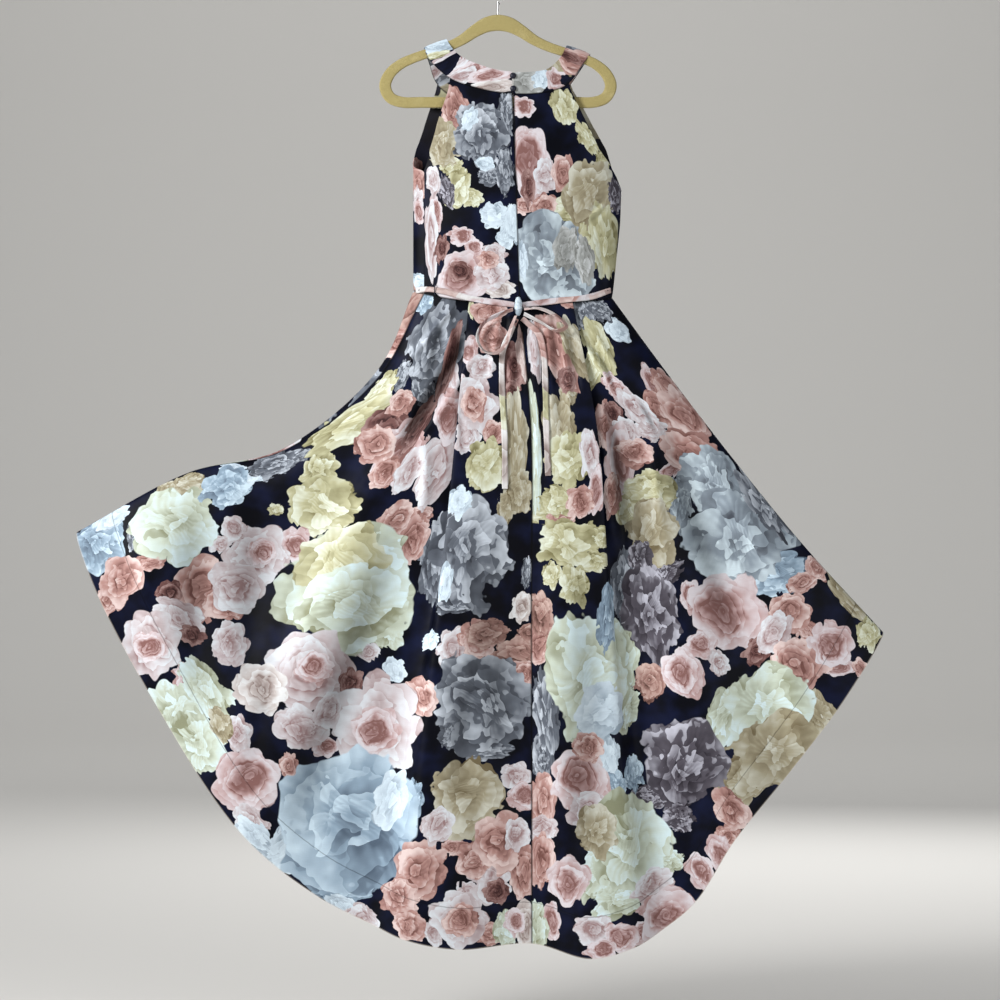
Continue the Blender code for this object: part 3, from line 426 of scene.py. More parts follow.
# Blooms on the back of the bodice.
bodiceBlooms = (
    ("butter", 157, -428, 67, 100, 0.62),
    ("silver", 102, -488, 61, 90, 0.9),
    ("grey", 16, -226, 35, 90, 0.45),
    ("butter", -74, -316, 21, 0, 0.8),
    ("butter", -43, -367, 22, 0, 0.7),
    ("blush", -99, -389, 32, 95, 0.35),
    ("grey", -13, -332, 22, 0, 0.8),
    ("petalWhite", 13, -428, 27, 70, 0.6),
    ("whitePink", -5, -458, 22, 0, 0.9),
    ("salmon", 43, -380, 18, 0, 0.8),
    ("cream", 3, -512, 27, 0, 0.6),
    ("butter", 171, -303, 24, 60, 0.7),
    ("salmon", -69, -228, 45, 95, 0.55),
    ("ochre", -88, -277, 42, 100, 0.72),
    ("butter", -66, -351, 35, 70, 0.62),
    ("taupe", -83, -356, 29, 100, 0.5),
    ("whitePink", -104, -338, 26, 90, 0.5),
    ("whitePink", -107, -432, 67, 90, 0.18),
    ("grey", -29, -264, 56, 100, 0.82),
    ("petalWhite", -45, -239, 22, 60, 0.6),
    ("grey", 11, -322, 42, 90, 0.4),
    ("petalWhite", -21, -312, 18, 0, 0.7),
    ("blush", 53, -316, 70, 90, 0.5),
    ("deep", 48, -351, 32, 90, 0.4),
    ("blush", 40, -220, 21, 0, 0.9),
    ("whitePink", 78, -332, 32, 90, 0.65),
    ("salmon", 107, -328, 34, 90, 0.65),
    ("salmon", 75, -380, 22, 0, 1),
    ("butter", 106, -220, 35, 110, 0.6),
    ("butter", 142, -268, 32, 120, 0.42),
    ("butter", 120, -386, 32, 0, 0.9),
    ("ochre", 144, -360, 61, 80, 0.78),
    ("butter", 170, -437, 70, 95, 0.38),
    ("taupe", 189, -360, 29, 90, 0.5),
    ("petalWhite", -6, -394, 26, 20, 0.8),
    ("petalWhite", 24, -408, 35, 90, 0.35),
    ("silver", 80, -460, 74, 90, 0.84),
    ("ash", 109, -447, 38, 80, 0.6),
    ("petalWhite", 38, -466, 32, 90, 0.3),
    ("deep", -90, -447, 26, 80, 0.45),
    ("blush", -58, -428, 22, 0, 0.8),
    ("blush", -38, -447, 16, 0, 1),
    ("blush", -58, -490, 46, 20, 0.9),
    ("deep", -61, -484, 21, 0, 0.8),
    ("whitePink", -10, -490, 32, 10, 0.8),
    ("salmon", -16, -466, 19, 0, 0.8),
    ("ash", 138, -466, 42, 95, 0.4),
)

# Blooms on the neckband's back and on the strips of the front that show from behind.
bandBlooms = (
    ("whitePink", -66, -140, 27, 60, 0.8),
    ("blush", -42, -159, 27, 20, 0.6),
    ("whitePink", -56, -170, 24, 20, 0.6),
    ("blush", -10, -168, 42, 8, 0.32),
    ("cream", -6, -188, 40, 8, 0.3),
    ("navy", -89, -162, 36, 80, 0.36),
    ("petalWhite", -102, -119, 22, 160, 0.6),
    ("butter", -100, -138, 11, 60, 0.8),
    ("whitePink", -109, -168, 27, 80, 0.35),
    ("ash", 45, -181, 32, 10, 0.8),
    ("petalWhite", 70, -175, 19, 60, 0.8),
    ("blush", 93, -176, 21, 60, 0.8),
    ("salmon", 128, -146, 32, 70, 0.8),
    ("deep", 118, -136, 16, 70, 0.6),
    ("navy", 108, -177, 11, 45, 0.8),
)
frontStripBlooms = (
    ("salmon", -128, -338, 42, 90, 0.5),
    ("whitePink", -130, -376, 32, 90, 0.4),
    ("blush", -128, -389, 22, 90, 0.5),
    ("petalWhite", -130, -501, 22, 0, 0.8),
    ("peach", -144, -562, 67, 78, 0.55),
    ("salmon", -154, -597, 26, 60, 0.7),
    ("navy", -158, -628, 34, 60, 0.8),
)


# A smooth curve through rows of points, read at row numbers with fractions.
def curveThrough(points, at, closed=False):
    points = np.asarray(points, float)
    at = np.atleast_1d(np.asarray(at, float))
    count = len(points)
    row = np.clip(np.floor(at).astype(int), 0, (count if closed else count - 1) - 1)
    if closed:
        p0, p1, p2, p3 = (points[(row + k) % count] for k in (-1, 0, 1, 2))
    else:
        longer = np.vstack([2 * points[0] - points[1], points, 2 * points[-1] - points[-2]])
        p0, p1, p2, p3 = (longer[row + k] for k in range(4))

    def knot(a, b):
        return np.sqrt(np.linalg.norm(b - a, axis=1))[:, None] + 1e-6

    t0 = np.zeros((len(at), 1))
    t1 = t0 + knot(p0, p1)
    t2 = t1 + knot(p1, p2)
    t3 = t2 + knot(p2, p3)
    t = t1 + (at - row)[:, None] * (t2 - t1)
    a1 = (t1 - t) / (t1 - t0) * p0 + (t - t0) / (t1 - t0) * p1
    a2 = (t2 - t) / (t2 - t1) * p1 + (t - t1) / (t2 - t1) * p2
    a3 = (t3 - t) / (t3 - t2) * p2 + (t - t2) / (t3 - t2) * p3
    b1 = (t2 - t) / (t2 - t0) * a1 + (t - t0) / (t2 - t0) * a2
    b2 = (t3 - t) / (t3 - t1) * a2 + (t - t1) / (t3 - t1) * a3
    return (t2 - t) / (t2 - t1) * b1 + (t - t1) / (t2 - t1) * b2


def softStep(value):
    value = np.clip(value, 0.0, 1.0)
    return value * value * (3 - 2 * value)


def unit(v):
    v = np.asarray(v, float)
    return v / max(np.linalg.norm(v), 1e-12)


# An edge read at share h of its rows, which never swings past a row.
def edgeAt(rows, h):
    rows = np.asarray(rows, float)
    steps = np.diff(rows, axis=0)
    slopes = np.zeros_like(rows)
    slopes[0], slopes[-1] = steps[0], steps[-1]
    before, after = steps[:-1], steps[1:]
    sameWay = before * after > 0
    slopes[1:-1] = np.where(sameWay, 2 * before * after / np.where(sameWay, before + after, 1.0), 0.0)
    s = min(max(h, 0.0), 1.0) * (len(rows) - 1)
    row = min(int(s), len(rows) - 2)
    u = s - row
    rise = u * u * (3 - 2 * u)
    bend = slopes[row] * u * (1 - u) ** 2 - slopes[row + 1] * u * u * (1 - u)
    return rows[row] * (1 - rise) + rows[row + 1] * rise + bend


def sectionAt(z):
    heights = [row.z for row in torsoSections]
    return [float(np.interp(z, heights, [row[k] for row in torsoSections])) for k in (1, 2, 3, 4)]


# A place on the torso: turn runs from centre back round to +X, in degrees.
def torso(turn, z):
    centre, halfWidth, back, front = sectionAt(z)
    angle = math.radians(turn)
    depth = back if math.cos(angle) > 0 else front
    return np.array([centre + halfWidth * math.sin(angle), -depth * math.cos(angle), z])


def torsoOutwards(turn, z):
    angle = math.radians(turn)
    halfWidth, back = sectionAt(z)[1:3]
    return unit((math.sin(angle) / halfWidth, -math.cos(angle) / back, 0))


def turnOf(x, z):
    centre, halfWidth = sectionAt(z)[:2]
    return math.degrees(math.asin(max(-1.0, min(1.0, (x - centre) / halfWidth))))


# The waist seam rises toward each side and dips at centre back.
waistRise = {"right": 0.003, "left": 0.015, "back": -0.008}


def waistHeight(turn):
    side = math.sin(math.radians(turn))
    lift = waistRise["right"] if side > 0 else waistRise["left"]
    return waistZ + lift * side * side + waistRise["back"] * max(0.0, math.cos(math.radians(turn)))


def bandRung(s):
    rows = [(r.innerX, r.y, r.innerZ, r.outerX, r.y, r.outerZ) for r in bandRungs]
    found = curveThrough(rows, s)
    return found[:, :3], found[:, 3:]


# Every fold line of the skirt, read at shares of its length: from the waist over the hip and the two
# places where it sags, down to the hem.
def foldLines(shares):
    marks = (0.0, 0.2, 0.45, 0.7, 1.0)
    at = np.interp(shares, marks, range(5))
    lines = []
    for one in folds:
        waist = torso(one.turn, waistHeight(one.turn))
        waist = waist + np.array([0.0, one.tuck * math.cos(math.radians(one.turn)), 0.0])
        stations = [waist]
        for mark, sag in zip(marks[1:], (0.0, one.thighSag, one.kneeSag, 0.0)):
            share = (mark - marks[1]) / (1 - marks[1])
            out = one.hipOut + share * (one.hemOut - one.hipOut)
            down = one.hipDown + share * (one.hemDown - one.hipDown) + sag
            deep = one.hipDeep + share * (one.hemDeep - one.hipDeep)
            stations.append(np.array([waistX + out, deep, waistZ - down]))
        lines.append(curveThrough(stations, at))
    return np.array(lines)


# Places of the skirt between two fold lines, with one column past each of them. Its rows lie a
# little closer together near the waist.
def skirtGrid(first, last, steps, rows):
    lines = foldLines((np.arange(rows + 1) / rows) ** 1.1)
    at = (first + np.arange(-1, (last - first) * steps + 2) / steps) % len(folds)
    return np.array([curveThrough(lines[:, r], at, closed=True) for r in range(rows + 1)])


# Places of a bodice piece from its waist up, with one column past each side. The waist seam shapes
# its lowest rows, and the neckband from one rung to another draws the rows at its top.
waistPart, bandPart = 0.33, 0.62


def bodiceGrid(start, end, firstRung, lastRung, columns, rows):
    grid = np.zeros((rows + 1, columns + 3, 3))
    inside = np.clip((np.arange(columns + 3) - 1) / columns, 0, 1)
    tops = bandRung(firstRung + inside * (lastRung - firstRung))[1]
    for r in range(rows + 1):
        h = r / rows
        first, last = edgeAt(start, h), edgeAt(end, h)
        pull = softStep((h - bandPart) / (1 - bandPart))
        for c in range(columns + 3):
            k = (c - 1) / columns
            turn, level = first + k * (last - first)
            straight = start[0][1] + k * (end[0][1] - start[0][1])
            level += (1 - softStep(h / waistPart)) * (waistHeight(turn) - straight)
            corner = np.array(start[-1]) + inside[c] * np.subtract(end[-1], start[-1])
            grid[r, c] = torso(turn, level) + pull * (tops[c] - torso(*corner))
    return grid


def normalsOf(grid, outward):
    found = np.cross(np.gradient(grid, axis=1), np.gradient(grid, axis=0))
    found /= np.maximum(np.linalg.norm(found, axis=2, keepdims=True), 1e-12)
    return -found if np.sum(found * (grid - np.asarray(outward))) < 0 else found


# Folds pressed and pulled into the cloth by its own weight and by hanging in a wardrobe. Each is a
# soft line through three places, in millimetres; lift is how far it stands out, or sinks in where it
# is negative.
crease = namedtuple("crease", "x0 z0 x1 z1 x2 z2 width lift")


def creaseLift(x, z, rows):
    total = np.zeros_like(x)
    steps = np.linspace(0, 1, 25)
    for row in rows:
        one = crease(*(value / 1000 for value in row))
        start, via, end = np.array([(one.x0, one.z0), (one.x1, one.z1), (one.x2, one.z2)])
        bend = 2 * via - (start + end) / 2
        s = steps[:, None]
        line = (1 - s) ** 2 * start + 2 * s * (1 - s) * bend + s * s * end
        low, high = line.min(axis=0) - 3 * one.width, line.max(axis=0) + 3 * one.width
        near = (x > low[0]) & (x < high[0]) & (z > low[1]) & (z < high[1])
        if not near.any():
            continue
        px, pz = x[near], z[near]
        far = (px[:, None] - line[None, :, 0]) ** 2 + (pz[:, None] - line[None, :, 1]) ** 2
        best = far.argmin(axis=1)
        fade = np.sin(np.pi * np.clip(steps[best], 0.02, 0.98)) ** 0.6
        total[near] += one.lift * fade * np.exp(-far[np.arange(len(best)), best] / one.width**2)
    return total


# The back's creases and the front's.
skirtCreases = (
    (-64, -533, -102, -575, -141, -626, 6, 10),
    (-144, -629, -192, -693, -282, -751, 12.8, 7),
    (-96, -552, -99, -607, -115, -668, 7.2, -6),
    (-77, -549, -78, -607, -93, -668, 7.2, 6),
    (-109, -546, -118, -584, -134, -610, 4.8, -4),
    (-51, -584, -96, -668, -157, -767, 10.4, -17),
    (-45, -815, -58, -735, -58, -655, 4.8, -4),
    (-30, -599, -79, -687, -134, -770, 7.2, 5),
    (-120, -744, -117, -815, -123, -871, 9.6, 7),
    (-182, -799, -310, -1039, -453, -1279, 35.2, 9),
    (-154, -879, -246, -1135, -333, -1391, 32, -9),
    (-573, -879, -557, -1007, -533, -1167, 32, 8),
    (-477, -847, -493, -1007, -477, -1167, 35.2, -8),
    (-90, -943, -118, -1167, -157, -1439, 35.2, 8),
    (-381, -815, -397, -1007, -378, -1263, 38.4, -8),
    (128, -591, 157, -629, 181, -671, 6.4, 6),
    (134, -591, 166, -626, 186, -668, 3.8, -6),
    (150, -575, 170, -610, 192, -642, 5.6, 5),
    (227, -693, 240, -712, 253, -738, 3.8, -5),
    (243, -751, 251, -815, 262, -911, 8, 4),
    (3, -546, -6, -607, -16, -687, 4.8, 4),
    (13, -546, 10, -607, 3, -687, 4.8, -4),
    (22, -552, 21, -623, 16, -719, 4.8, 4),
    (34, -552, 32, -623, 29, -687, 4.8, -4),
    (42, -556, 40, -655, 38, -751, 4.2, 3),
    (48, -552, 46, -719, 46, -892, 3.5, -5),
    (58, -552, 59, -719, 58, -887, 5.4, 5),
    (69, -556, 69, -687, 69, -879, 3.5, -4),
    (78, -552, 82, -639, 86, -735, 4.8, 4),
    (88, -552, 94, -639, 99, -735, 4.8, -4.5),
    (99, -552, 109, -639, 115, -719, 5.4, 5),
    (110, -556, 122, -623, 131, -687, 4.8, -4),
    (160, -680, 173, -799, 184, -927, 9.6, 6),
    (173, -687, 192, -815, 205, -943, 11.2, -9),
    (195, -703, 218, -879, 237, -1087, 20.8, -7),
    (-19, -1007, -45, -1167, -74, -1327, 19.2, -6),
    (93, -1007, 109, -1231, 122, -1455, 19.2, -6),
    (-301, -943, -365, -1135, -413, -1311, 19.2, -6),
    (323, -751, 390, -879, 477, -1007, 22.4, 8),
    (262, -719, 314, -879, 381, -1071, 19.2, -8),
    (406, -991, 461, -1135, 483, -1247, 25.6, 8),
    (227, -943, 266, -1135, 285, -1327, 25.6, 8),
    (131, -943, 141, -1167, 134, -1423, 28.8, -7),
    (3, -943, -6, -1167, -29, -1423, 28.8, -6),
    (80, -943, 93, -1167, 99, -1455, 25.6, 6),
    (-45, -799, -51, -943, -58, -1071, 14.4, 4),
    (-35, -1071, -19, -1263, 3, -1487, 22.4, 5),
)
bodiceCreases = (
    (46, -380, 45, -455, 42, -530, 3.8, 3),
    (173, -364, 158, -380, 144, -391, 3.2, -3),
    (171, -386, 158, -396, 144, -408, 3.2, -2.5),
    (170, -375, 157, -386, 141, -399, 2.6, 2.5),
    (-109, -418, -93, -466, -83, -514, 8, 3),
    (-29, -424, -13, -479, 3, -530, 8, 2.6),
    (99, -408, 118, -466, 131, -520, 9.6, -3),
    (-80, -239, -86, -287, -96, -332, 9.6, 2.6),
    (67, -447, 80, -487, 86, -527, 6.4, 2.6),
    (160, -431, 166, -471, 170, -514, 6.4, -2.4),
    (-56, -447, -45, -488, -35, -527, 6.4, -2.2),
)
skirtFrontCreases = (
    (-150, -560, -230, -700, -340, -860, 16, 8),
    (-60, -560, -90, -740, -130, -980, 20, 8),
    (-20, -560, -30, -740, -30, -1050, 18, -7.2),
    (40, -560, 50, -760, 60, -1080, 20, 8),
    (90, -560, 130, -740, 180, -1000, 18, -7.2),
    (130, -560, 210, -720, 330, -930, 20, 8),
    (-110, -560, -190, -740, -270, -940, 16, -7.2),
    (160, -560, 300, -700, 440, -840, 18, -6.4),
)
bodiceFrontCreases = (
    (-60, -500, -55, -430, -30, -370, 10, 3.2),
    (100, -500, 95, -430, 70, -370, 10, 3.2),
    (20, -250, 22, -290, 20, -330, 10, 3.2),
    (-30, -240, -40, -280, -60, -320, 8, -2.4),
    (70, -240, 85, -280, 110, -320, 8, -2.4),
)

# What a user may change about the cloth.
cloth = {
    "thickness": 0.0009,
    "hemThickness": 0.0017,  # the hem is turned up, so it is two layers
    "hemDepth": 0.066,
    "seamDip": 0.0008,  # how far the cloth rolls in at a seam, and over what width
    "seamRoll": 0.0035,
    "finestRipple": 0.0007,
    "deepest": 0.009,  # a crease this deep gets the full painted shade of a fold, its colour darkened by foldShade
    "foldShade": 0.66,
    "foldLight": 0.30,  # and a ridge this high gets this much painted highlight, its colour lightened
    "seamCalm": 0.02,  # creases die away over this distance from a seam
    "farAway": 9.0,  # stands for no hem or seam anywhere near
    "fold": 50,  # faces that meet at more degrees than this show an edge
}


# Length run along the rows or columns of a grid of places, from its first one.
def runLength(grid, axis, flat=False):
    steps = np.diff(grid[..., :2] if flat else grid, axis=axis)
    length = np.linalg.norm(steps, axis=2)
    start = np.zeros_like(np.take(length, [0], axis=axis))
    return np.concatenate([start, np.cumsum(length, axis=axis)], axis=axis)


# Small uneven ripples of hanging satin, as a sum of soft slanting waves.
def ripple(u, v, seed):
    dice = random.Random(seed)
    total = np.zeros_like(u)
    for _ in range(9):
        across, along = dice.uniform(14, 60), dice.uniform(-9, 9)
        total += dice.uniform(0.3, 1.0) * np.sin(across * u + along * v + dice.uniform(0, 6.3))
    return total / 4


# Says which body a finished piece rides on and which node it replaces.
def declare(piece, node=None):
    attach(piece, "root")
    if node:
        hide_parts(node)
    return piece


def setDown(name, data):
    made = bpy.data.objects.new(name, data)
    scene.collection.objects.link(made)
    return made


def bringIn(name, mesh, node=None):
    return declare(setDown(name, mesh), node)


def meshOf(name, points, faces, *finishes):
    mesh = bpy.data.meshes.new(name)
    mesh.from_pydata([tuple(point) for point in points], [], faces)
    for finish in finishes:
        mesh.materials.append(finish)
    return mesh


# Gives a mesh its places in the uncut cloth, and other values that its material reads at each place.
def giveCut(mesh, places, **values):
    layer = mesh.uv_layers.new(name="cut")
    corners = np.zeros(len(mesh.loops), dtype=np.int32)
    mesh.loops.foreach_get("vertex_index", corners)
    layer.data.foreach_set("uv", places[corners].astype(np.float32).ravel())
    for label, found in values.items():
        made = mesh.attributes.new(label, "FLOAT", "POINT")
        made.data.foreach_set("value", found.astype(np.float32))


# One closed cloth piece on a grid of its outer places. cut holds each place's u and v in the uncut
# cloth, hemAway and seamAway its distances from the hem and the nearest seam, and valley how deep it
# lies in a crease, from which its material paints shade into the creases and highlight onto the ridges.
def clothPiece(
    name, node, grid, normals, cut, finishes, blooms,
    hemAway=None, seamAway=None, valley=None, thick=None,
):
    rows, columns = grid.shape[:2]
    farAway = np.full((rows, columns), cloth["farAway"])
    valley = np.zeros((rows, columns)) if valley is None else valley
    hemAway = farAway if hemAway is None else hemAway
    seamAway = farAway if seamAway is None else seamAway
    if thick is None:
        thick = np.where(hemAway < cloth["hemDepth"], cloth["hemThickness"], cloth["thickness"])
    dip = cloth["seamDip"] * np.exp(-((seamAway / cloth["seamRoll"]) ** 2))
    outer = grid - normals * dip[..., None]
    inner = outer - normals * np.broadcast_to(thick, (rows, columns))[..., None]
    points = np.concatenate([outer.reshape(-1, 3), inner.reshape(-1, 3)])
    number = np.arange(rows * columns).reshape(rows, columns)
    quads = np.stack([number[:-1, :-1], number[:-1, 1:], number[1:, 1:], number[1:, :-1]], axis=-1)
    quads = quads.reshape(-1, 4)
    ring = np.concatenate([number[0], number[1:, -1], number[-1, -2::-1], number[-2:0:-1, 0]])
    after = np.roll(ring, -1)
    inside = rows * columns
    sides = np.stack([after, ring, ring + inside, after + inside], axis=-1)
    faces = np.concatenate([quads, quads[:, ::-1] + inside, sides])
    a, b, c = (points[faces[:, k]] for k in (0, 1, 2))
    d = points[faces[:, 3]]
    volume = np.sum(a * np.cross(b, c)) + np.sum(a * np.cross(c, d))
    if volume < 0:
        faces = faces[:, ::-1]
    mesh = meshOf(name, points.tolist(), faces.tolist(), *finishes)
    wrongSide = np.zeros(len(faces), dtype=np.int32)
    wrongSide[len(quads) : 2 * len(quads)] = len(finishes) - 1
    mesh.polygons.foreach_set("material_index", wrongSide)
    places = np.concatenate([cut.reshape(-1, 2), cut.reshape(-1, 2)])
    both = {"hemAway": hemAway, "seamAway": seamAway, "valley": valley}
    giveCut(mesh, places, **{label: np.tile(values.ravel(), 2) for label, values in both.items()})
    giveBlooms(mesh, faces, places, blooms)
    mesh.shade_smooth()
    mesh.set_sharp_from_angle(angle=math.radians(cloth["fold"]))
    return bringIn(name, mesh, node)


# A bloom lies on a piece with its middle at u, v. Each small face remembers which blooms touch it,
# the topmost first, so that the shader only draws those.
bloom = namedtuple("bloom", "u v reach turn seed kind narrow")

# How a bloom's outline runs, as shares of its reach.
outline = {
    "inner": 0.84,  # the outline between two lobes
    "lobe": 0.34,  # how far a lobe stands out
    "torn": 3.4,
    "wander": 0.50,
    "edge": 0.022,  # the width over which it fades into the ground
    "furthest": 1.36,  # no petal reaches past this
    "full": 0.55,  # everything nearer the middle than this is petals
    "rim": 0.8,  # past this a bloom is a mere rim, and leaves a face's last place to another
}
narrowRoom = 0.95  # how much of a whole step in a bloom's code tells how narrow it is


def giveBlooms(mesh, faces, places, blooms):
    corners = places[faces]
    middles = corners.mean(axis=1)
    spread = np.linalg.norm(corners - middles[:, None], axis=2).max(axis=1)
    at = np.zeros((slots, len(faces), 3), dtype=np.float32)
    look = np.zeros((slots, len(faces), 3), dtype=np.float32)
    used = np.zeros(len(faces), dtype=int)
    covered = np.zeros(len(faces), dtype=bool)
    for one in reversed(blooms):
        away = middles - (one.u, one.v)
        turn = math.radians(one.turn)
        along = away @ (math.cos(turn), math.sin(turn))
        across = away @ (-math.sin(turn), math.cos(turn))
        reach = np.hypot(along, across / one.narrow)
        blur = spread / one.narrow
        room = np.where(reach < outline["rim"] * one.reach, slots, slots - 1)
        touched = (reach < outline["furthest"] * one.reach + blur) & (used < room) & ~covered
        where = np.nonzero(touched)[0]
        at[used[where], where] = (one.u, one.v, 1 / one.reach)
        look[used[where], where] = (turn, one.seed, flowerNumber[one.kind] + narrowRoom * one.narrow)
        used[where] += 1
        covered |= reach + blur < outline["full"] * one.reach
    for k in range(slots):
        for label, values in (("bloomAt", at), ("bloomLook", look)):
            made = mesh.attributes.new(f"{label}{k + 1}", "FLOAT_VECTOR", "FACE")
            made.data.foreach_set("vector", values[k].ravel())


# Rows of the print laid on a piece: each bloom goes where the piece's outermost cloth is nearest.
def bloomsFor(grid, cut, rows, seed):
    dice = random.Random(seed)
    flat = grid.reshape(-1, 3)
    places = cut.reshape(-1, 2)
    found = []
    for row in rows:
        one = bloomRow(row[0], *(value / 1000 for value in row[1:4]), *row[4:])
        draw = dice.uniform(0, 10)
        away = np.hypot(flat[:, 0] - one.x, flat[:, 2] - one.z)
        nearest = away.min()
        if nearest > one.reach:
            continue
        close = np.nonzero(away < max(nearest * 1.2, 0.008))[0]
        best = close[flat[close, 1].argmin()]
        u = places[best, 0] + one.x - flat[best, 0]
        v = places[best, 1] + one.z - flat[best, 2]
        found.append(bloom(u, v, one.reach, one.turn, draw, one.kind, one.narrow))
    return found


# Where the print doesn't follow a table it is strewn: large flowers with roses clustered round them.
strewing = {
    "step": 0.168,  # from one large flower to the next
    "large": ("ivory", "grey", "sky", "butter", "taupe", "ochre", "ivory", "grey"),
    "largeReach": (0.058, 0.108),
    "roses": ("blush", "salmon", "blush", "whitePink", "salmon", "deep", "cream", "peach"),
    "roseReach": (0.022, 0.048),
    "rosesRound": (3, 4, 5),
    "side": 0.10,  # past this far to its side, and above the foot, the front shows from behind:
    "foot": -0.62,  # only the rows of a table lie there
}


def strewnBlooms(low, high, seed, scale=1.0):
    dice = random.Random(seed)
    found = []
    step = strewing["step"] * scale
    row = 0
    v = low[1] - step / 2
    while v < high[1] + step:
        u = low[0] - step + (step / 2 if row % 2 else 0)
        while u < high[0] + step:
            x, z = u + dice.uniform(-0.2, 0.2) * step, v + dice.uniform(-0.2, 0.2) * step
            for _ in range(dice.choice(strewing["rosesRound"])):
                angle, far = dice.uniform(0, 6.3), dice.uniform(0.45, 0.75) * step
                kind, reach = dice.choice(strewing["roses"]), dice.uniform(*strewing["roseReach"]) * scale
                place = (x + far * math.cos(angle), z + far * math.sin(angle))
                turn, narrow = dice.uniform(0, 180), dice.uniform(0.7, 1)
                found.append(bloom(*place, reach, turn, dice.uniform(0, 10), kind, narrow))
            kind, reach = dice.choice(strewing["large"]), dice.uniform(*strewing["largeReach"]) * scale
            turn, narrow = dice.uniform(0, 180), dice.uniform(0.75, 1)
            found.append(bloom(x, z, reach, turn, dice.uniform(0, 10), kind, narrow))
            u += step
        v += step * 0.86
        row += 1
    dice.shuffle(found)
    return sorted(found, key=lambda one: one.reach * dice.uniform(0.5, 1.5), reverse=True)


def linear(screenColour):
    # a colour given as a screen shows it, 0 to 255, in the shader's own linear values
    found = [v / 255 / 12.92 if v < 11 else ((v / 255 + 0.055) / 1.055) ** 2.4 for v in screenColour]
    return (*found, 1.0)


# Small helpers for node trees: a value is a number, a colour or another node's socket.
def plug(tree, socket, value):
    if isinstance(value, bpy.types.NodeSocket):
        tree.links.new(value, socket)
    else:
        socket.default_value = value


def addNode(tree, kind, inputs=None, **settings):
    made = tree.nodes.new("ShaderNode" + kind)
    for name, value in settings.items():
        setattr(made, name, value)
    for name, value in (inputs or {}).items():
        plug(tree, made.inputs[name], value)
    return made


def calc(tree, operation, *values, clamp=False):
    made = addNode(tree, "Math", operation=operation, use_clamp=clamp)
    for socket, value in zip(made.inputs, values):
        plug(tree, socket, value)
    return made.outputs[0]


def vectorCalc(tree, operation, *values):
    made = addNode(tree, "VectorMath", operation=operation)
    for socket, value in zip(made.inputs, values):
        plug(tree, socket, value)
    return made.outputs["Value" if operation in ("LENGTH", "DOT_PRODUCT") else "Vector"]


def scaled(tree, vector, factor):
    made = addNode(tree, "VectorMath", {"Vector": vector, "Scale": factor}, operation="SCALE")
    return made.outputs["Vector"]


def mixColour(tree, factor, a, b, blend="MIX"):
    made = addNode(tree, "Mix", data_type="RGBA", blend_type=blend, clamp_factor=True)
    for socket, value in zip((made.inputs[0], made.inputs[6], made.inputs[7]), (factor, a, b)):
        plug(tree, socket, value)
    return made.outputs[2]


def stepUp(tree, value, low, high):
    inputs = {"Value": value, "From Min": low, "From Max": high}
    return addNode(tree, "MapRange", inputs, interpolation_type="SMOOTHSTEP").outputs["Result"]


def between(tree, value, low, high, toLow, toHigh):
    inputs = {"Value": value, "From Min": low, "From Max": high, "To Min": toLow, "To Max": toHigh}
    return addNode(tree, "MapRange", inputs).outputs["Result"]


def parts(tree, vector):
    return addNode(tree, "SeparateXYZ", {"Vector": vector}).outputs


def joined(tree, x, y, z=0.0):
    return addNode(tree, "CombineXYZ", {"X": x, "Y": y, "Z": z}).outputs["Vector"]


def noise(tree, vector, scale, detail=1.0, rough=0.5, dimensions="3D"):
    inputs = {"Vector": vector, "Scale": scale, "Detail": detail, "Roughness": rough}
    return addNode(tree, "TexNoise", inputs, noise_dimensions=dimensions)


# A ramp of flat steps, one for each kind of flower.
def choices(tree, number, colours):
    ramp = addNode(tree, "ValToRGB")
    ramp.color_ramp.interpolation = "CONSTANT"
    stops = ramp.color_ramp.elements
    count = len(colours)
    for k, colour in enumerate(colours):
        stop = stops[k] if k < 2 else stops.new(k / count)
        stop.position = k / count
        stop.color = colour
    plug(tree, ramp.inputs["Fac"], calc(tree, "DIVIDE", calc(tree, "ADD", number, 0.5), float(count)))
    return ramp.outputs


def newGroup(name, inputs, outputs):
    tree = bpy.data.node_groups.new(name, "ShaderNodeTree")
    for way, sockets in (("INPUT", inputs), ("OUTPUT", outputs)):
        for label, kind in sockets:
            tree.interface.new_socket(label, in_out=way, socket_type="NodeSocket" + kind)
    given, wanted = tree.nodes.new("NodeGroupInput"), tree.nodes.new("NodeGroupOutput")
    return tree, given.outputs, wanted.inputs


def useGroup(tree, group, **inputs):
    made = tree.nodes.new("ShaderNodeGroup")
    made.node_tree = group
    for name, value in inputs.items():
        plug(tree, made.inputs[name], value)
    return made.outputs


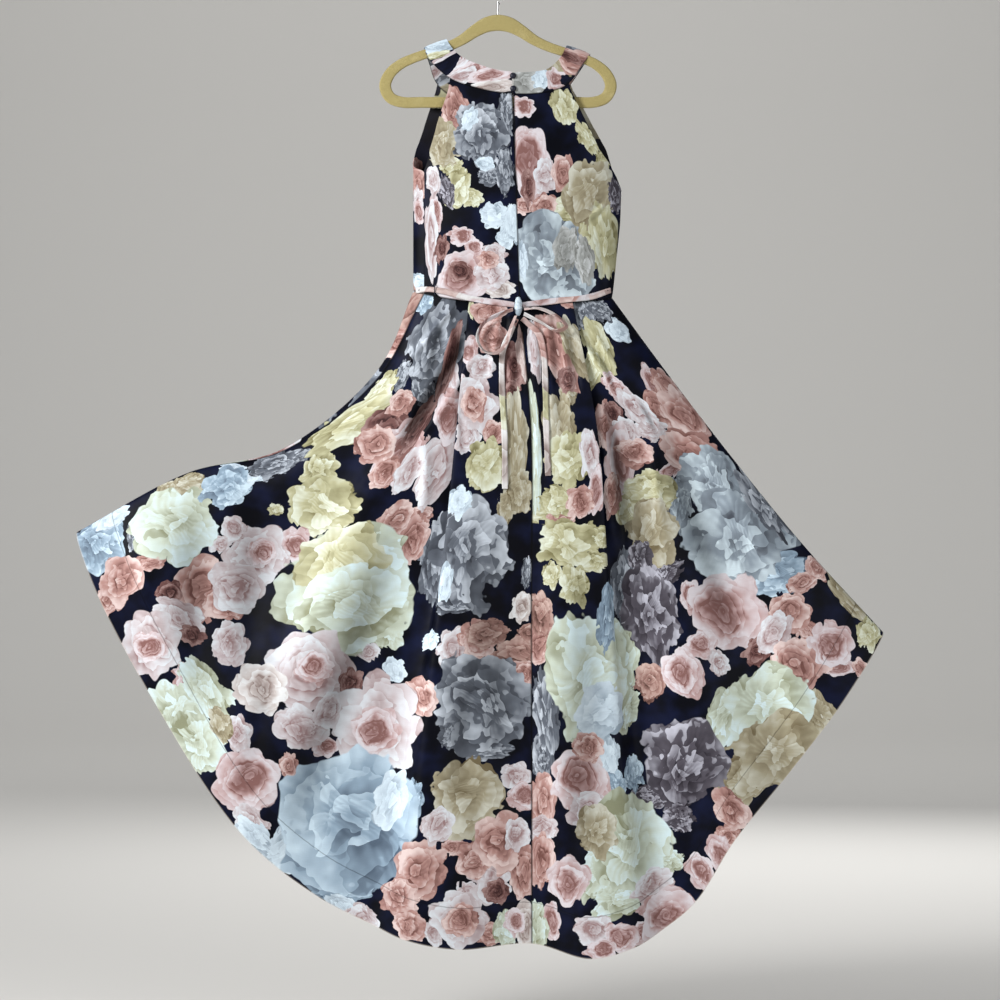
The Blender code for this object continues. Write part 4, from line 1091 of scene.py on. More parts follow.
# One flower of the print, painted in three tones: petals that overlap from the heart outwards, pale
# at their tips and dark where the next one covers them, light from one side and a rim torn in places.
def makeBloomGroup():
    inputs = (("Place", "Vector"), ("At", "Vector"), ("Look", "Vector"))
    tree, given, wanted = newGroup("bloom", inputs, (("Color", "Color"), ("Mask", "Float")))

    def add(a, b):
        return calc(tree, "ADD", a, b)

    def less(a, b):
        return calc(tree, "SUBTRACT", a, b)

    def times(a, b):
        return calc(tree, "MULTIPLY", a, b)

    at, look = parts(tree, given["At"]), parts(tree, given["Look"])
    turn, seed, code = look["X"], look["Y"], look["Z"]
    kind = calc(tree, "FLOOR", code)
    narrow = calc(tree, "DIVIDE", less(code, kind), narrowRoom)
    away = vectorCalc(tree, "SUBTRACT", given["Place"], joined(tree, at["X"], at["Y"]))
    turned = addNode(tree, "VectorRotate", rotation_type="Z_AXIS")
    plug(tree, turned.inputs["Vector"], scaled(tree, away, at["Z"]))
    plug(tree, turned.inputs["Angle"], times(turn, -1.0))
    widen = joined(tree, 1.0, calc(tree, "DIVIDE", 1.0, narrow))
    square = vectorCalc(tree, "MULTIPLY", turned.outputs[0], widen)
    own = vectorCalc(tree, "ADD", square, joined(tree, times(seed, 3.7), times(seed, 1.9)))
    slow = noise(tree, own, 1.05, 1.0, 0.5, "2D").outputs["Color"]
    field = parts(tree, slow)
    bent = scaled(tree, vectorCalc(tree, "SUBTRACT", slow, (0.5, 0.5, 0.5)), outline["wander"])
    bent = vectorCalc(tree, "MULTIPLY", vectorCalc(tree, "ADD", square, bent), (1.0, 1.0, 0.0))
    fine = noise(tree, own, 4.2, 1.0, 0.55, "2D").outputs["Color"]
    grain = less(parts(tree, fine)["X"], 0.5)
    reach = vectorCalc(tree, "LENGTH", bent)

    ownHabit = [(f.around / 4, f.ragged, f.cup, f.patchy) for f in flowers.values()]
    chosen = choices(tree, kind, ownHabit)
    habit = addNode(tree, "SeparateColor", {"Color": chosen["Color"]}).outputs
    around, ragged, cup, patchy = times(habit["Red"], 4.0), habit["Green"], habit["Blue"], chosen["Alpha"]

    # the outline: round lobes of uneven size
    flat = parts(tree, bent)
    angle = calc(tree, "ARCTAN2", flat["Y"], flat["X"])
    lobes = add(5.0, calc(tree, "FLOOR", times(calc(tree, "FRACT", seed), 4.0)))
    lobe = calc(tree, "ABSOLUTE", calc(tree, "SINE", add(times(times(angle, lobes), 0.5), seed)))
    torn = times(times(grain, times(ragged, outline["torn"])), stepUp(tree, field["Z"], 0.36, 0.56))
    rim = add(add(outline["inner"], times(lobe, times(field["X"], outline["lobe"]))), torn)
    inside = calc(tree, "DIVIDE", less(rim, reach), outline["edge"], clamp=True)
    plug(tree, wanted["Mask"], times(inside, calc(tree, "MULTIPLY", at["Z"], 1.0, clamp=True)))

    # the petals: cells laid round a heart that sits to one side
    slant = times(seed, 2.1)
    leanX, leanY = calc(tree, "COSINE", slant), calc(tree, "SINE", slant)
    heart = vectorCalc(tree, "SUBTRACT", bent, scaled(tree, joined(tree, leanX, leanY), times(cup, 0.22)))
    fromHeart = vectorCalc(tree, "LENGTH", heart)
    spread = calc(tree, "DIVIDE", around, calc(tree, "MAXIMUM", fromHeart, 0.34))
    round = parts(tree, scaled(tree, heart, spread))
    depth = add(times(calc(tree, "POWER", fromHeart, 0.8), add(3.4, times(cup, 2.6))), times(seed, 5.3))
    lookUp = vectorCalc(tree, "ADD", joined(tree, round["X"], round["Y"], depth), scaled(tree, fine, 0.55))
    lookUp = vectorCalc(tree, "ADD", lookUp, scaled(tree, slow, 1.1))
    petal = addNode(tree, "TexVoronoi", {"Vector": lookUp, "Scale": 1.0, "Randomness": 0.9}).outputs
    cell = parts(tree, petal["Color"])
    tip = less(parts(tree, lookUp)["Z"], parts(tree, petal["Position"])["Z"])
    lit = vectorCalc(tree, "DOT_PRODUCT", square, joined(tree, leanX, leanY))
    tone = add(add(0.50, times(tip, 0.24)), times(lit, 0.18))
    vein = calc(tree, "SINE", add(times(add(round["X"], round["Y"]), 13.0), times(cell["Z"], 9.0)))
    tone = add(tone, times(times(vein, add(grain, 0.3)), 0.16))
    tone = add(tone, times(less(cell["X"], 0.5), less(0.46, times(cup, 0.35))))
    tone = add(tone, add(times(grain, 0.25), times(less(field["Y"], 0.5), 0.7)))
    heartward = stepUp(tree, add(fromHeart, times(grain, 0.25)), 0.62, 0.36)
    line = times(stepUp(tree, tip, -0.20, -0.46), add(0.05, times(times(cup, heartward), 0.60)))
    tone = less(less(tone, line), times(heartward, times(cup, 0.60)))
    tone = add(tone, times(stepUp(tree, fromHeart, 0.45, 0.70), times(cup, 0.42)))
    tone = add(0.5, times(less(tone, 0.46), 1.15))

    # a patchy flower is dark, with pale broken petal tips
    pale = stepUp(tree, add(add(cell["Y"], times(tip, 0.45)), times(grain, 0.8)), 0.45, 0.50)
    broken = add(add(0.27, times(pale, 0.50)), add(times(grain, 0.40), times(tip, 0.24)))
    broken = add(broken, times(lit, 0.10))
    blend = addNode(tree, "Mix", data_type="FLOAT")
    for socket, value in zip((blend.inputs[0], blend.inputs[2], blend.inputs[3]), (patchy, tone, broken)):
        plug(tree, socket, value)
    tone = blend.outputs[0]

    tones = [choices(tree, kind, [linear(f[k]) for f in flowers.values()])["Color"] for k in range(3)]
    lower = calc(tree, "MULTIPLY", tone, 2.0, clamp=True)
    upper = calc(tree, "SUBTRACT", times(tone, 2.0), 1.0, clamp=True)
    colour = mixColour(tree, lower, tones[0], tones[1])
    plug(tree, wanted["Color"], mixColour(tree, upper, colour, tones[2]))
    return tree


# The whole print: navy ground with the blooms that each face remembers laid over it.
groundTones = ((3, 4, 13), (15, 21, 48))


def makePrintGroup(bloomGroup):
    tree, given, wanted = newGroup("flowerPrint", (("Place", "Vector"),), (("Color", "Color"),))
    cloudy = noise(tree, given["Place"], 22.0, 2.0).outputs["Fac"]
    colour = mixColour(tree, stepUp(tree, cloudy, 0.35, 0.75), *(linear(tone) for tone in groundTones))
    for k in range(slots, 0, -1):
        at = addNode(tree, "Attribute", attribute_name=f"bloomAt{k}").outputs["Vector"]
        look = addNode(tree, "Attribute", attribute_name=f"bloomLook{k}").outputs["Vector"]
        one = useGroup(tree, bloomGroup, Place=given["Place"], At=at, Look=look)
        colour = mixColour(tree, one["Mask"], colour, one["Color"])
    plug(tree, wanted["Color"], colour)
    return tree


# Satin woven with an uneven weft: fine slubs that run across the cloth.
def makeSlubGroup():
    tree, given, wanted = newGroup(
        "slubWeave",
        (("Place", "Vector"), ("Length", "Float"), ("Fineness", "Float")),
        (("Tint", "Float"), ("Height", "Float")),
    )
    long = vectorCalc(tree, "MULTIPLY", given["Place"], joined(tree, given["Length"], given["Fineness"], 1.0))
    tall = vectorCalc(tree, "MULTIPLY", given["Place"], joined(tree, 700.0, 90.0))
    slub = noise(tree, long, 1.0, 2.0, 0.65).outputs["Fac"]
    warp = noise(tree, tall, 1.0, 1.0).outputs["Fac"]
    both = calc(tree, "ADD", calc(tree, "MULTIPLY", slub, 0.75), calc(tree, "MULTIPLY", warp, 0.25))
    plug(tree, wanted["Height"], both)
    plug(tree, wanted["Tint"], between(tree, both, 0.3, 0.7, 0.0, 1.0))
    return tree


# Stitching: the hem's blind row and the pucker beside a seam, and a painted highlight along the turned edge.
def makeSewingGroup():
    tree, given, wanted = newGroup(
        "sewnEdges",
        (("Place", "Vector"), ("Hem", "Float"), ("Seam", "Float")),
        (("Shade", "Float"), ("Edge", "Float"), ("Height", "Float")),
    )
    small = vectorCalc(tree, "MULTIPLY", given["Place"], (110.0, 110.0, 1.0))
    pucker = noise(tree, small, 1.0, 2.0).outputs["Fac"]
    wander = calc(tree, "MULTIPLY", calc(tree, "SUBTRACT", pucker, 0.5), 0.0016)
    off = calc(tree, "SUBTRACT", calc(tree, "ADD", given["Hem"], wander), cloth["hemDepth"])
    offRow = calc(tree, "ABSOLUTE", off)
    row = stepUp(tree, offRow, 0.0013, 0.0004)
    dent = stepUp(tree, offRow, 0.0060, 0.0)
    seam = stepUp(tree, given["Seam"], 0.0024, 0.0006)
    besideSeam = stepUp(tree, given["Seam"], 0.014, 0.001)
    dark = calc(tree, "MAXIMUM", calc(tree, "MULTIPLY", row, 0.42), calc(tree, "MULTIPLY", seam, 0.72))
    plug(tree, wanted["Shade"], calc(tree, "SUBTRACT", 1.0, dark))
    # how near the hem's fold a place lies, where the material paints a highlight
    plug(tree, wanted["Edge"], stepUp(tree, given["Hem"], 0.0022, 0.0006))
    soft = calc(tree, "MULTIPLY", calc(tree, "MAXIMUM", dent, besideSeam), pucker)
    plug(tree, wanted["Height"], calc(tree, "SUBTRACT", soft, calc(tree, "MULTIPLY", row, 0.8)))
    return tree


# How the satin looks on its right side, on its wrong side and in the tie.
satin = {
    "right": {"roughness": (0.42, 0.56), "sheen": 0.0, "specular": 0.10, "faded": 0.0, "bump": 0.30},
    "wrong": {"roughness": (0.66, 0.78), "sheen": 0.0, "specular": 0.12, "faded": 0.05, "bump": 0.40},
    "tie": {"roughness": (0.36, 0.48), "sheen": 0.10, "specular": 0.42, "faded": 0.0, "bump": 0.25},
}
# the wrong side's paler tone, and the tone of the painted highlight along the hem's fold
chalky, hemEdgeHighlight = (178, 172, 170), (214, 204, 190)


def newMaterial(name):
    made = bpy.data.materials.new(name)
    made.use_nodes = True
    return made, made.node_tree, made.node_tree.nodes["Principled BSDF"]


# Plugs in a material's colour, roughness and bump, and sets the values that stay plain.
def finishMaterial(tree, shader, colour, roughness, bump=None, plain=None):
    plug(tree, shader.inputs["Base Color"], colour)
    plug(tree, shader.inputs["Roughness"], roughness)
    if bump:
        height, strength, distance = bump
        made = addNode(tree, "Bump", {"Height": height, "Strength": strength, "Distance": distance})
        plug(tree, shader.inputs["Normal"], made.outputs["Normal"])
    for name, value in (plain or {}).items():
        shader.inputs[name].default_value = value


def satinMaterial(name, look, groups):
    made, tree, shader = newMaterial(name)
    place = addNode(tree, "UVMap", uv_map="cut").outputs["UV"]
    hem = addNode(tree, "Attribute", attribute_name="hemAway").outputs["Fac"]
    seam = addNode(tree, "Attribute", attribute_name="seamAway").outputs["Fac"]
    flowersHere = useGroup(tree, groups["print"], Place=place)
    weave = useGroup(tree, groups["slub"], Place=place, Length=60.0, Fineness=1500.0)
    sewn = useGroup(tree, groups["sewing"], Place=place, Hem=hem, Seam=seam)
    colour = flowersHere["Color"]
    if look["faded"]:
        colour = mixColour(tree, look["faded"], colour, linear(chalky))
    tint = between(tree, weave["Tint"], 0.0, 1.0, 0.93, 1.05)
    tint = calc(tree, "MULTIPLY", tint, sewn["Shade"])
    # painted shade and painted highlight: the colour is darkened where the cloth lies deep in a crease and
    # lightened where it stands high on a ridge
    valley = addNode(tree, "Attribute", attribute_name="valley").outputs["Fac"]
    tint = calc(tree, "MULTIPLY", tint, between(tree, valley, 0.0, 1.0, 1.0, 1.0 - cloth["foldShade"]))
    tint = calc(tree, "MULTIPLY", tint, between(tree, valley, -1.0, 0.0, 1.0 + cloth["foldLight"], 1.0))
    colour = mixColour(tree, 1.0, colour, joined(tree, tint, tint, tint), "MULTIPLY")
    # a painted highlight along the hem's turned edge
    colour = mixColour(tree, calc(tree, "MULTIPLY", sewn["Edge"], 0.35), colour, linear(hemEdgeHighlight))
    roughness = between(tree, weave["Height"], 0.3, 0.7, *look["roughness"])
    height = calc(tree, "ADD", calc(tree, "MULTIPLY", weave["Height"], 0.35), sewn["Height"])
    shine = {"Sheen Weight": look["sheen"], "Sheen Roughness": 0.4, "Specular IOR Level": look["specular"]}
    finishMaterial(tree, shader, colour, roughness, (height, look["bump"], 0.0008), shine)
    return made


groups = {"print": makePrintGroup(makeBloomGroup()), "slub": makeSlubGroup(), "sewing": makeSewingGroup()}
printedSatin = satinMaterial("printedSatin", satin["right"], groups)
printedWrongSide = satinMaterial("printedWrongSide", satin["wrong"], groups)
tieSatin = satinMaterial("tieSatin", satin["tie"], groups)
print("materials for the cloth made")


# A wide panel's places across its cut: level over the panel, then on round each side to the seam.
def levelCut(grid, run):
    across = grid[..., 0].copy()
    rows = np.arange(len(grid))[:, None]
    number = np.arange(grid.shape[1])[None, :]
    right, left = across.argmax(axis=1)[:, None], across.argmin(axis=1)[:, None]
    beyondRight = grid[rows, right, 0] + run[rows, right] - run
    beyondLeft = grid[rows, left, 0] + run[rows, left] - run
    return np.where(number < right, beyondRight, np.where(number > left, beyondLeft, across))


# A bodice or skirt piece: creased, then given its cut, its seams and its hem. facing is -1 at the
# back and 1 in front, where the print is strewn too. seams says which of its left, right, bottom and
# top edges are sewn.
def sewPiece(name, node, grid, outward, middle, creases, facing, rows, seams, hem=False):
    normals = normalsOf(grid, outward)[:, 1:-1]
    grid = grid[:, 1:-1]
    run = runLength(grid, 1, flat=True)
    level = levelCut(grid, run) if middle is None else run - run[:, [middle]]
    cut = np.stack([level, grid[..., 2]], axis=-1)
    lift = creaseLift(grid[..., 0], grid[..., 2], creases)
    # how deep each place lies in a crease, or how high on a ridge where negative: the material paints shade
    # and highlight into the colour from it
    valley = np.clip(-lift / cloth["deepest"], -1, 1)
    lift += cloth["finestRipple"] * ripple(cut[..., 0], cut[..., 1], name)
    across, along = runLength(grid, 1), runLength(grid, 0)
    hemAway = (along[-1:] - along) if hem else None
    sides = {"l": across, "r": across[:, -1:] - across, "b": along, "t": along[-1:] - along}
    seamAway = np.min([sides[side] for side in seams], axis=0)
    lift *= softStep(seamAway / cloth["seamCalm"])
    grid = grid + np.array([0.0, facing, 0.0]) * lift[..., None]
    found = []
    if facing > 0:
        low, high = cut.reshape(-1, 2).min(axis=0), cut.reshape(-1, 2).max(axis=0)
        leftward = -1 if middle is None else 1
        for one in strewnBlooms(low, high, name):
            if leftward * one.u < strewing["side"] or one.v < strewing["foot"]:
                found.append(one)
    found += bloomsFor(grid, cut, rows, name + "rows")
    satins = (printedSatin, printedWrongSide)
    piece = clothPiece(
        name, node, grid, normals, cut, satins, found, hemAway, seamAway, valley
    )
    return grid


# What a user may change about the skirt: how finely it is made, and the size each piece is cut to.
skirt = {
    "backSteps": 18,
    "frontSteps": 10,
    "rows": 150,
    "middle": 53,  # the x, in millimetres, where the print passes from the left piece to the right one
    "left": {"flat": (0.95, 1.10), "area": 0.53},
    "right": {"flat": (0.80, 1.10), "area": 0.42},
    "front": {"flat": (1.35, 0.68), "area": 0.53},
}


def makeSkirt():
    belowWaist = (waistX, 0, waistZ - 0.5)
    toMiddle = (len(folds) - leftSeamFold) * skirt["backSteps"]
    backs = []
    for name, node, part, first, last, middle in (
        ("skirtBackRight", "skirt_back_right", "right", 0, rightSeamFold, 0),
        ("skirtFront", "skirt_front", "front", rightSeamFold, leftSeamFold, None),
        ("skirtBackLeft", "skirt_back_left", "left", leftSeamFold, len(folds), toMiddle),
    ):
        facing, creases, steps, rows = 1, skirtFrontCreases, skirt["frontSteps"], frontStripBlooms
        if part != "front":
            facing, creases, steps = -1, skirtCreases, skirt["backSteps"]
            rows = [row for row in skirtBlooms if (row[1] < skirt["middle"]) == (part == "left")]
        grid = skirtGrid(first, last, steps, skirt["rows"])
        places = sewPiece(name, node, grid, belowWaist, middle, creases, facing, rows, "lrb", hem=True)
        if part != "front":
            backs.append(places)
    return backs


# What a user may change about the bodice.
bodice = {
    "rows": 60,
    "middle": 30,
    "columns": {"left": 48, "right": 54, "front": 110},
    "left": {"flat": (0.17, 0.37), "area": 0.050},
    "right": {"flat": (0.19, 0.37), "area": 0.053},
    "front": {"flat": (0.36, 0.37), "area": 0.110},
}


def centreBackEdge():
    (topX, topZ), (lowX, lowZ) = centreBackTop, centreBackWaist
    shares = [k / 8 for k in range(9)]
    places = [(lowX + share * (topX - lowX), lowZ + share * (topZ - lowZ)) for share in shares]
    return [(turnOf(x, z), z) for x, z in places]


def makeBodice():
    middle = centreBackEdge()
    slit = len(bandRungs) - 1.0
    frontRises = (frontRightRise, frontLeftRise)
    leftLevels = (waistHeight(leftSeamTurn), *leftSeamHeights)
    rightSeam = [(rightSeamTurn, z) for z in (waistHeight(rightSeamTurn), *rightSeamHeights)]
    left = [(leftSeamTurn - 360, z) for z in leftLevels] + [(turnOf(x, z), z) for x, z in backLeftEdge]
    right = rightSeam + [(turnOf(x, z), z) for x, z in backRightEdge]
    rightFront = rightSeam + list(frontRightEdge)
    leftFront = [(leftSeamTurn, z) for z in leftLevels] + list(frontLeftEdge)
    columns = bodice["columns"]
    for name, node, part, start, end, firstRung, lastRung, middleColumn in (
        ("backBodiceLeft", "back_bodice_left", "left", left, middle, leftRise, slit, -1),
        ("backBodiceRight", "back_bodice_right", "right", middle, right, 0, rightRise, 0),
        ("frontBodice", "front_bodice", "front", rightFront, leftFront, *frontRises, columns["front"] // 2),
    ):
        grid = bodiceGrid(start, end, firstRung, lastRung, columns[part], bodice["rows"])
        facing, creases, rows = 1, bodiceFrontCreases, frontStripBlooms
        if part != "front":
            facing, creases = -1, bodiceCreases
            rows = [row for row in bodiceBlooms if (row[1] < bodice["middle"]) == (part == "left")]
        seams = {"left": "rbt", "right": "lbt", "front": "bt"}[part]
        sewPiece(name, node, grid, torsoMiddle, middleColumn, creases, facing, rows, seams)


# The neckband goes right round, and rises over the hanger's arms.
band = {
    "steps": 12,
    "rows": 10,
    "thickness": 0.0016,
    "inset": 0.0005,
    "crown": 0.0007,  # how far its middle swells
    "wave": 0.0006,
    "waves": 160,
    "rolled": 0.0004,  # its upper edge counts as this far from the seam
    "flat": (0.65, 0.037),
}


def makeNeckband():
    columns = (len(bandRungs) - 1) * band["steps"]
    inner, outer = bandRung(np.arange(columns + 1) / band["steps"])
    share = (np.arange(band["rows"] + 1) / band["rows"])[:, None, None]
    grid = outer[None] + (inner - outer)[None] * share
    normals = normalsOf(grid, (0.02, 0, -0.20))
    swell = np.sin(np.pi * share[..., 0]) ** 0.5
    run = runLength(grid, 1).mean(axis=0)
    lift = band["wave"] * np.sin(run * band["waves"])[None] * swell + band["crown"] * swell
    grid = grid + normals * (lift[..., None] - band["inset"])
    cut = np.stack([np.broadcast_to(run - run[-1], grid.shape[:2]), grid[..., 2]], axis=-1)
    found = strewnBlooms((-0.44, -0.24), (-0.24, -0.1), "band", 0.5)  # the rows are only for its back
    found += bloomsFor(grid, cut, bandBlooms, "bandRows")
    satins = (printedSatin, printedWrongSide)
    piece = clothPiece(
        "neckBand", "neckband", grid, normals, cut, satins, found,
        seamAway=runLength(grid, 0) + band["rolled"], thick=band["thickness"],
    )


skirtBacks = makeSkirt()
print("skirt sewn")
makeBodice()
makeNeckband()
print("bodice and neckband sewn")


# The waist tie, as routes of (x, z) laid over the finished cloth.
tie = {
    "steps": 14,
    "sides": 20,
    "width": 0.0094,
    "thickness": 0.0026,
    "groove": 0.55,  # how deep the pressed middle of the tube is, as a share of its thickness
    "mouth": 0.007,  # how far the open end of a tail reaches in
    "stand": 0.0005,
    "bowLift": 0.0045,
    "bowTilt": math.radians(60),
    "settled": 60,  # how many times its path is smoothed over the hollows of the cloth
    # how far and how quickly it twists, twists again and widens along its length
    "sways": ((0.14, 55), (0.08, 130), (0.07, 90)),
    "skirtRows": 70,  # how many rows of the skirt it may lie over
}
tieRoute = namedtuple("tieRoute", "name node flat kinds places onWaist bow")
tieRoutes = (
    tieRoute(
        "tieLeft", "tie_left", (0.0115, 0.16), ("cream", "pink", "cream", "blush"),
        ((-0.1300, -0.5130), (-0.1120, -0.5118), (-0.0880, -0.5150), (-0.0448, -0.5268), (0.0259, -0.5374)),
        True, False,
    ),
    tieRoute(
        "tieRight", "tie_right", (0.0115, 0.145), ("pink", "whitePink", "salmon", "blush"),
        ((0.1790, -0.5130), (0.1472, -0.5240), (0.0992, -0.5300), (0.0391, -0.5374)),
        True, False,
    ),
    tieRoute(
        "tieTailLeft", "tie_tail_left", (0.0115, 0.28), ("salmon", "cream", "cream", "butter", "cream"),
        (
            (0.0290, -0.5596), (0.0192, -0.5828), (0.0080, -0.6100), (0.0064, -0.6676), (0.0104, -0.7492),
            (0.0112, -0.8308),
        ),
        False, False,
    ),
    tieRoute(
        "tieTailRight", "tie_tail_right", (0.0115, 0.265), ("pink", "salmon", "cream", "butter", "cream"),
        (
            (0.0386, -0.5590), (0.0510, -0.5700), (0.0640, -0.5830), (0.0720, -0.6100), (0.0752, -0.6628),
            (0.0768, -0.7348), (0.0800, -0.8100),
        ),
        False, False,
    ),
    tieRoute(
        "bowLoopLeft", "bow_loop_left", (0.0115, 0.19), ("salmon", "blush", "cream", "pink"),
        (
            (0.0239, -0.5452), (0.0032, -0.5524), (-0.0224, -0.5668), (-0.0328, -0.5908), (-0.0224, -0.6110),
            (-0.0032, -0.6148), (0.0128, -0.6004), (0.0190, -0.5800), (0.0281, -0.5556),
        ),
        False, True,
    ),
    tieRoute(
        "bowLoopRight", "bow_loop_right", (0.0115, 0.15), ("salmon", "pink", "salmon", "cream"),
        (
            (0.0415, -0.5446), (0.0640, -0.5432), (0.0928, -0.5556), (0.1088, -0.5725), (0.0928, -0.5790),
            (0.0688, -0.5660), (0.0413, -0.5520),
        ),
        False, True,
    ),
)


# The places of the back that the tie lies over: the skirt's upper rows, and the cloth at the waist.
def placesUnderTie(skirtBacks):
    upper = [places[: tie["skirtRows"]].reshape(-1, 3) for places in skirtBacks]
    levels = np.linspace(-0.545, -0.500, 12)
    waist = [torso(turn, z) for z in levels for turn in np.arange(-100, 101, 2.0)]
    return np.concatenate([*upper, waist])


# The outermost y of the back near a place.
def clothOut(samples, x, z, reach=0.006):
    away = (samples[:, 0] - x) ** 2 + (samples[:, 2] - z) ** 2
    near = away < reach * reach
    return samples[near, 1].min() if near.any() else samples[away.argmin(), 1]


def runAlong(path):
    return np.concatenate([[0], np.cumsum(np.linalg.norm(np.diff(path, axis=0), axis=1))])


# Numbers the places of a skin made of rings, and joins each ring to the next.
def ringFaces(rings, sides):
    number = np.arange(rings * sides).reshape(rings, sides)
    following = np.roll(number, -1, axis=1)
    faces = np.stack([number[:-1], following[:-1], following[1:], number[1:]], axis=-1)
    return number, faces.reshape(-1, 4).tolist()


def tieTube(route, samples):
    steps, sides = tie["steps"], tie["sides"]
    count = (len(route.places) - 1) * steps
    flat = curveThrough(route.places, np.arange(count + 1) / steps)
    tilt = tie["bowTilt"] if route.bow else 0.0
    lift = tie["bowLift"] if route.bow else 0.0
    rise = tie["width"] / 2 * math.sin(tilt) + tie["thickness"] / 2 * math.cos(tilt) + tie["stand"]
    path, outs = [], []
    for x, z in flat:
        if route.onWaist:
            turn = turnOf(x, z)
            outs.append(torsoOutwards(turn, z))
            path.append(torso(turn, z) + outs[-1] * rise)
        else:
            outs.append(np.array([0.0, -1.0, 0.0]))
            path.append(np.array([x, clothOut(samples, x, z) - rise - lift, z]))
    path = np.array(path)
    if not route.onWaist:
        for _ in range(tie["settled"]):
            path[1:-1, 1] = np.minimum(path[1:-1, 1], (path[:-2, 1] + path[2:, 1]) / 2)
    along, run = np.gradient(path, axis=0), runAlong(path)
    points, places = [], []
    angles = 2 * np.pi * (np.arange(sides) + 0.5) / sides
    dice = random.Random(route.name)
    phases = [dice.uniform(0, 6.3) for _ in tie["sways"]]
    for k in range(count + 1):
        ahead = unit(along[k])
        side = unit(np.cross(ahead, outs[k]))
        out = unit(np.cross(side, ahead))
        sways = [far * math.sin(run[k] * quick + phase) for (far, quick), phase in zip(tie["sways"], phases)]
        twist = tilt + sways[0] + sways[1]
        width = tie["width"] / 2 * (1 + sways[2])
        wide = side * math.cos(twist) + out * math.sin(twist)
        thin = out * math.cos(twist) - side * math.sin(twist)
        for angle in angles:
            across = math.copysign(abs(math.cos(angle)) ** 0.8, math.cos(angle))
            bulge = math.sin(angle) * (1 - tie["groove"] * math.exp(-((across / 0.34) ** 2)))
            points.append(path[k] + wide * across * width + thin * bulge * tie["thickness"] / 2)
            places.append((across * width, run[k]))
    number, faces = ringFaces(count + 1, sides)
    inner = []
    for end, inward in ((0, 1), (count, -1)):
        # each end is an open mouth: the cloth turns in and closes a little way inside
        middle = path[end]
        last = number[end].tolist()
        for share, depth in ((0.86, 0.0), (0.72, tie["mouth"] * 0.5), (0.60, tie["mouth"])):
            made = []
            for index in number[end]:
                made.append(len(points))
                points.append(middle + (points[index] - middle) * share + unit(along[end]) * inward * depth)
                places.append(places[index])
            for k in range(sides):
                m = (k + 1) % sides
                face = (last[k], last[m], made[m], made[k])
                (faces if share > 0.8 else inner).append(face if inward < 0 else face[::-1])
            last = made
        inner.append(tuple(last) if inward < 0 else tuple(reversed(last)))
    return points, places, faces, inner, run[-1]


# Lays the print over a small piece that has no hem or seam.
def giveSmallPrint(mesh, faces, places, blooms):
    places = np.array(places)
    farAway = np.full(len(places), cloth["farAway"])
    giveCut(mesh, places, hemAway=farAway, seamAway=farAway)
    giveBlooms(mesh, np.array([face[:4] for face in faces]), places, blooms)
    mesh.shade_smooth()


def makeTie(samples):
    for route in tieRoutes:
        points, places, faces, inner, length = tieTube(route, samples)
        mesh = meshOf(route.name, points, faces + inner, tieSatin, navySatin)
        for k in range(len(inner)):
            mesh.polygons[len(faces) + k].material_index = 1
        dice = random.Random(route.name + "print")
        found, step = [], length / len(route.kinds)
        for k, kind in enumerate(route.kinds):
            found.append(bloom(0.035, (k + 0.5) * step, step * 1.5, 90, dice.uniform(0, 10), kind, 0.9))
        giveSmallPrint(mesh, faces + inner, places, found)
        mesh.set_sharp_from_angle(angle=math.radians(60))
        outwards(mesh)
        bringIn(route.name, mesh, route.node)
    bead = makeKnot(samples)


# Turns a closed mesh's faces to point outwards.
def outwards(mesh):
    shape = bmesh.new()
    shape.from_mesh(mesh)
    bmesh.ops.recalc_face_normals(shape, faces=shape.faces)
    shape.to_mesh(mesh)
    shape.free()


# The pulled knot: a tight bead of cloth, wrapped aslant.
knot = {"at": (0.0325, -0.5400), "stand": 0.0066, "half": (0.0064, 0.0058, 0.0152), "rows": 30, "sides": 36}


def makeKnot(samples):
    x, z = knot["at"]
    middle = np.array([x, clothOut(samples, x, z) - knot["stand"], z])
    rows, sides = knot["rows"], knot["sides"]
    points, places = [], []
    for r in range(rows + 1):
        up = -math.cos(math.pi * (r + 0.35) / (rows + 0.7))
        ring = math.sqrt(1 - up * up) ** 0.85
        for k in range(sides):
            angle = 2 * math.pi * k / sides
            wrap = abs(math.sin(1.5 * angle + up * 4.2)) ** 0.5
            swell = 0.76 + 0.24 * wrap
            way = np.array([math.cos(angle) * ring * swell, math.sin(angle) * ring * swell, up])
            points.append(middle + way * knot["half"])
            places.append((angle * 0.008, up * 0.02))
    number, faces = ringFaces(rows + 1, sides)
    faces += [number[0][::-1].tolist(), number[-1].tolist()]
    mesh = meshOf("tieKnot", points, faces, tieSatin)
    giveSmallPrint(mesh, faces, places, [bloom(0.02, 0.0, 0.09, 30, 4.1, "petalWhite", 0.9)])
    outwards(mesh)
    return bringIn("tieKnot", mesh, "tie_knot")


# A thread loop holds the left strand near the side seam: two twisted threads.
threadLoop = {"at": (-0.100, -0.5128), "halfHeight": 0.0085, "wire": 0.0016, "stand": 0.0012, "twist": 0.0022}


def makeThreadLoop():
    x, z = threadLoop["at"]
    turn = turnOf(x, z)
    out = torsoOutwards(turn, z)
    path = []
    for share in np.linspace(-1, 1, 41):
        bulge = (tie["thickness"] + threadLoop["stand"]) * (1 - share**4)
        level = z + share * threadLoop["halfHeight"]
        path.append(torso(turn, level) + out * (threadLoop["wire"] / 2 + 0.0003 + bulge))
    radius, twist = threadLoop["wire"] / 2, threadLoop["twist"]
    twistedCord("beltLoop", "belt_loop_left", np.array(path), radius, twist, navySatin)


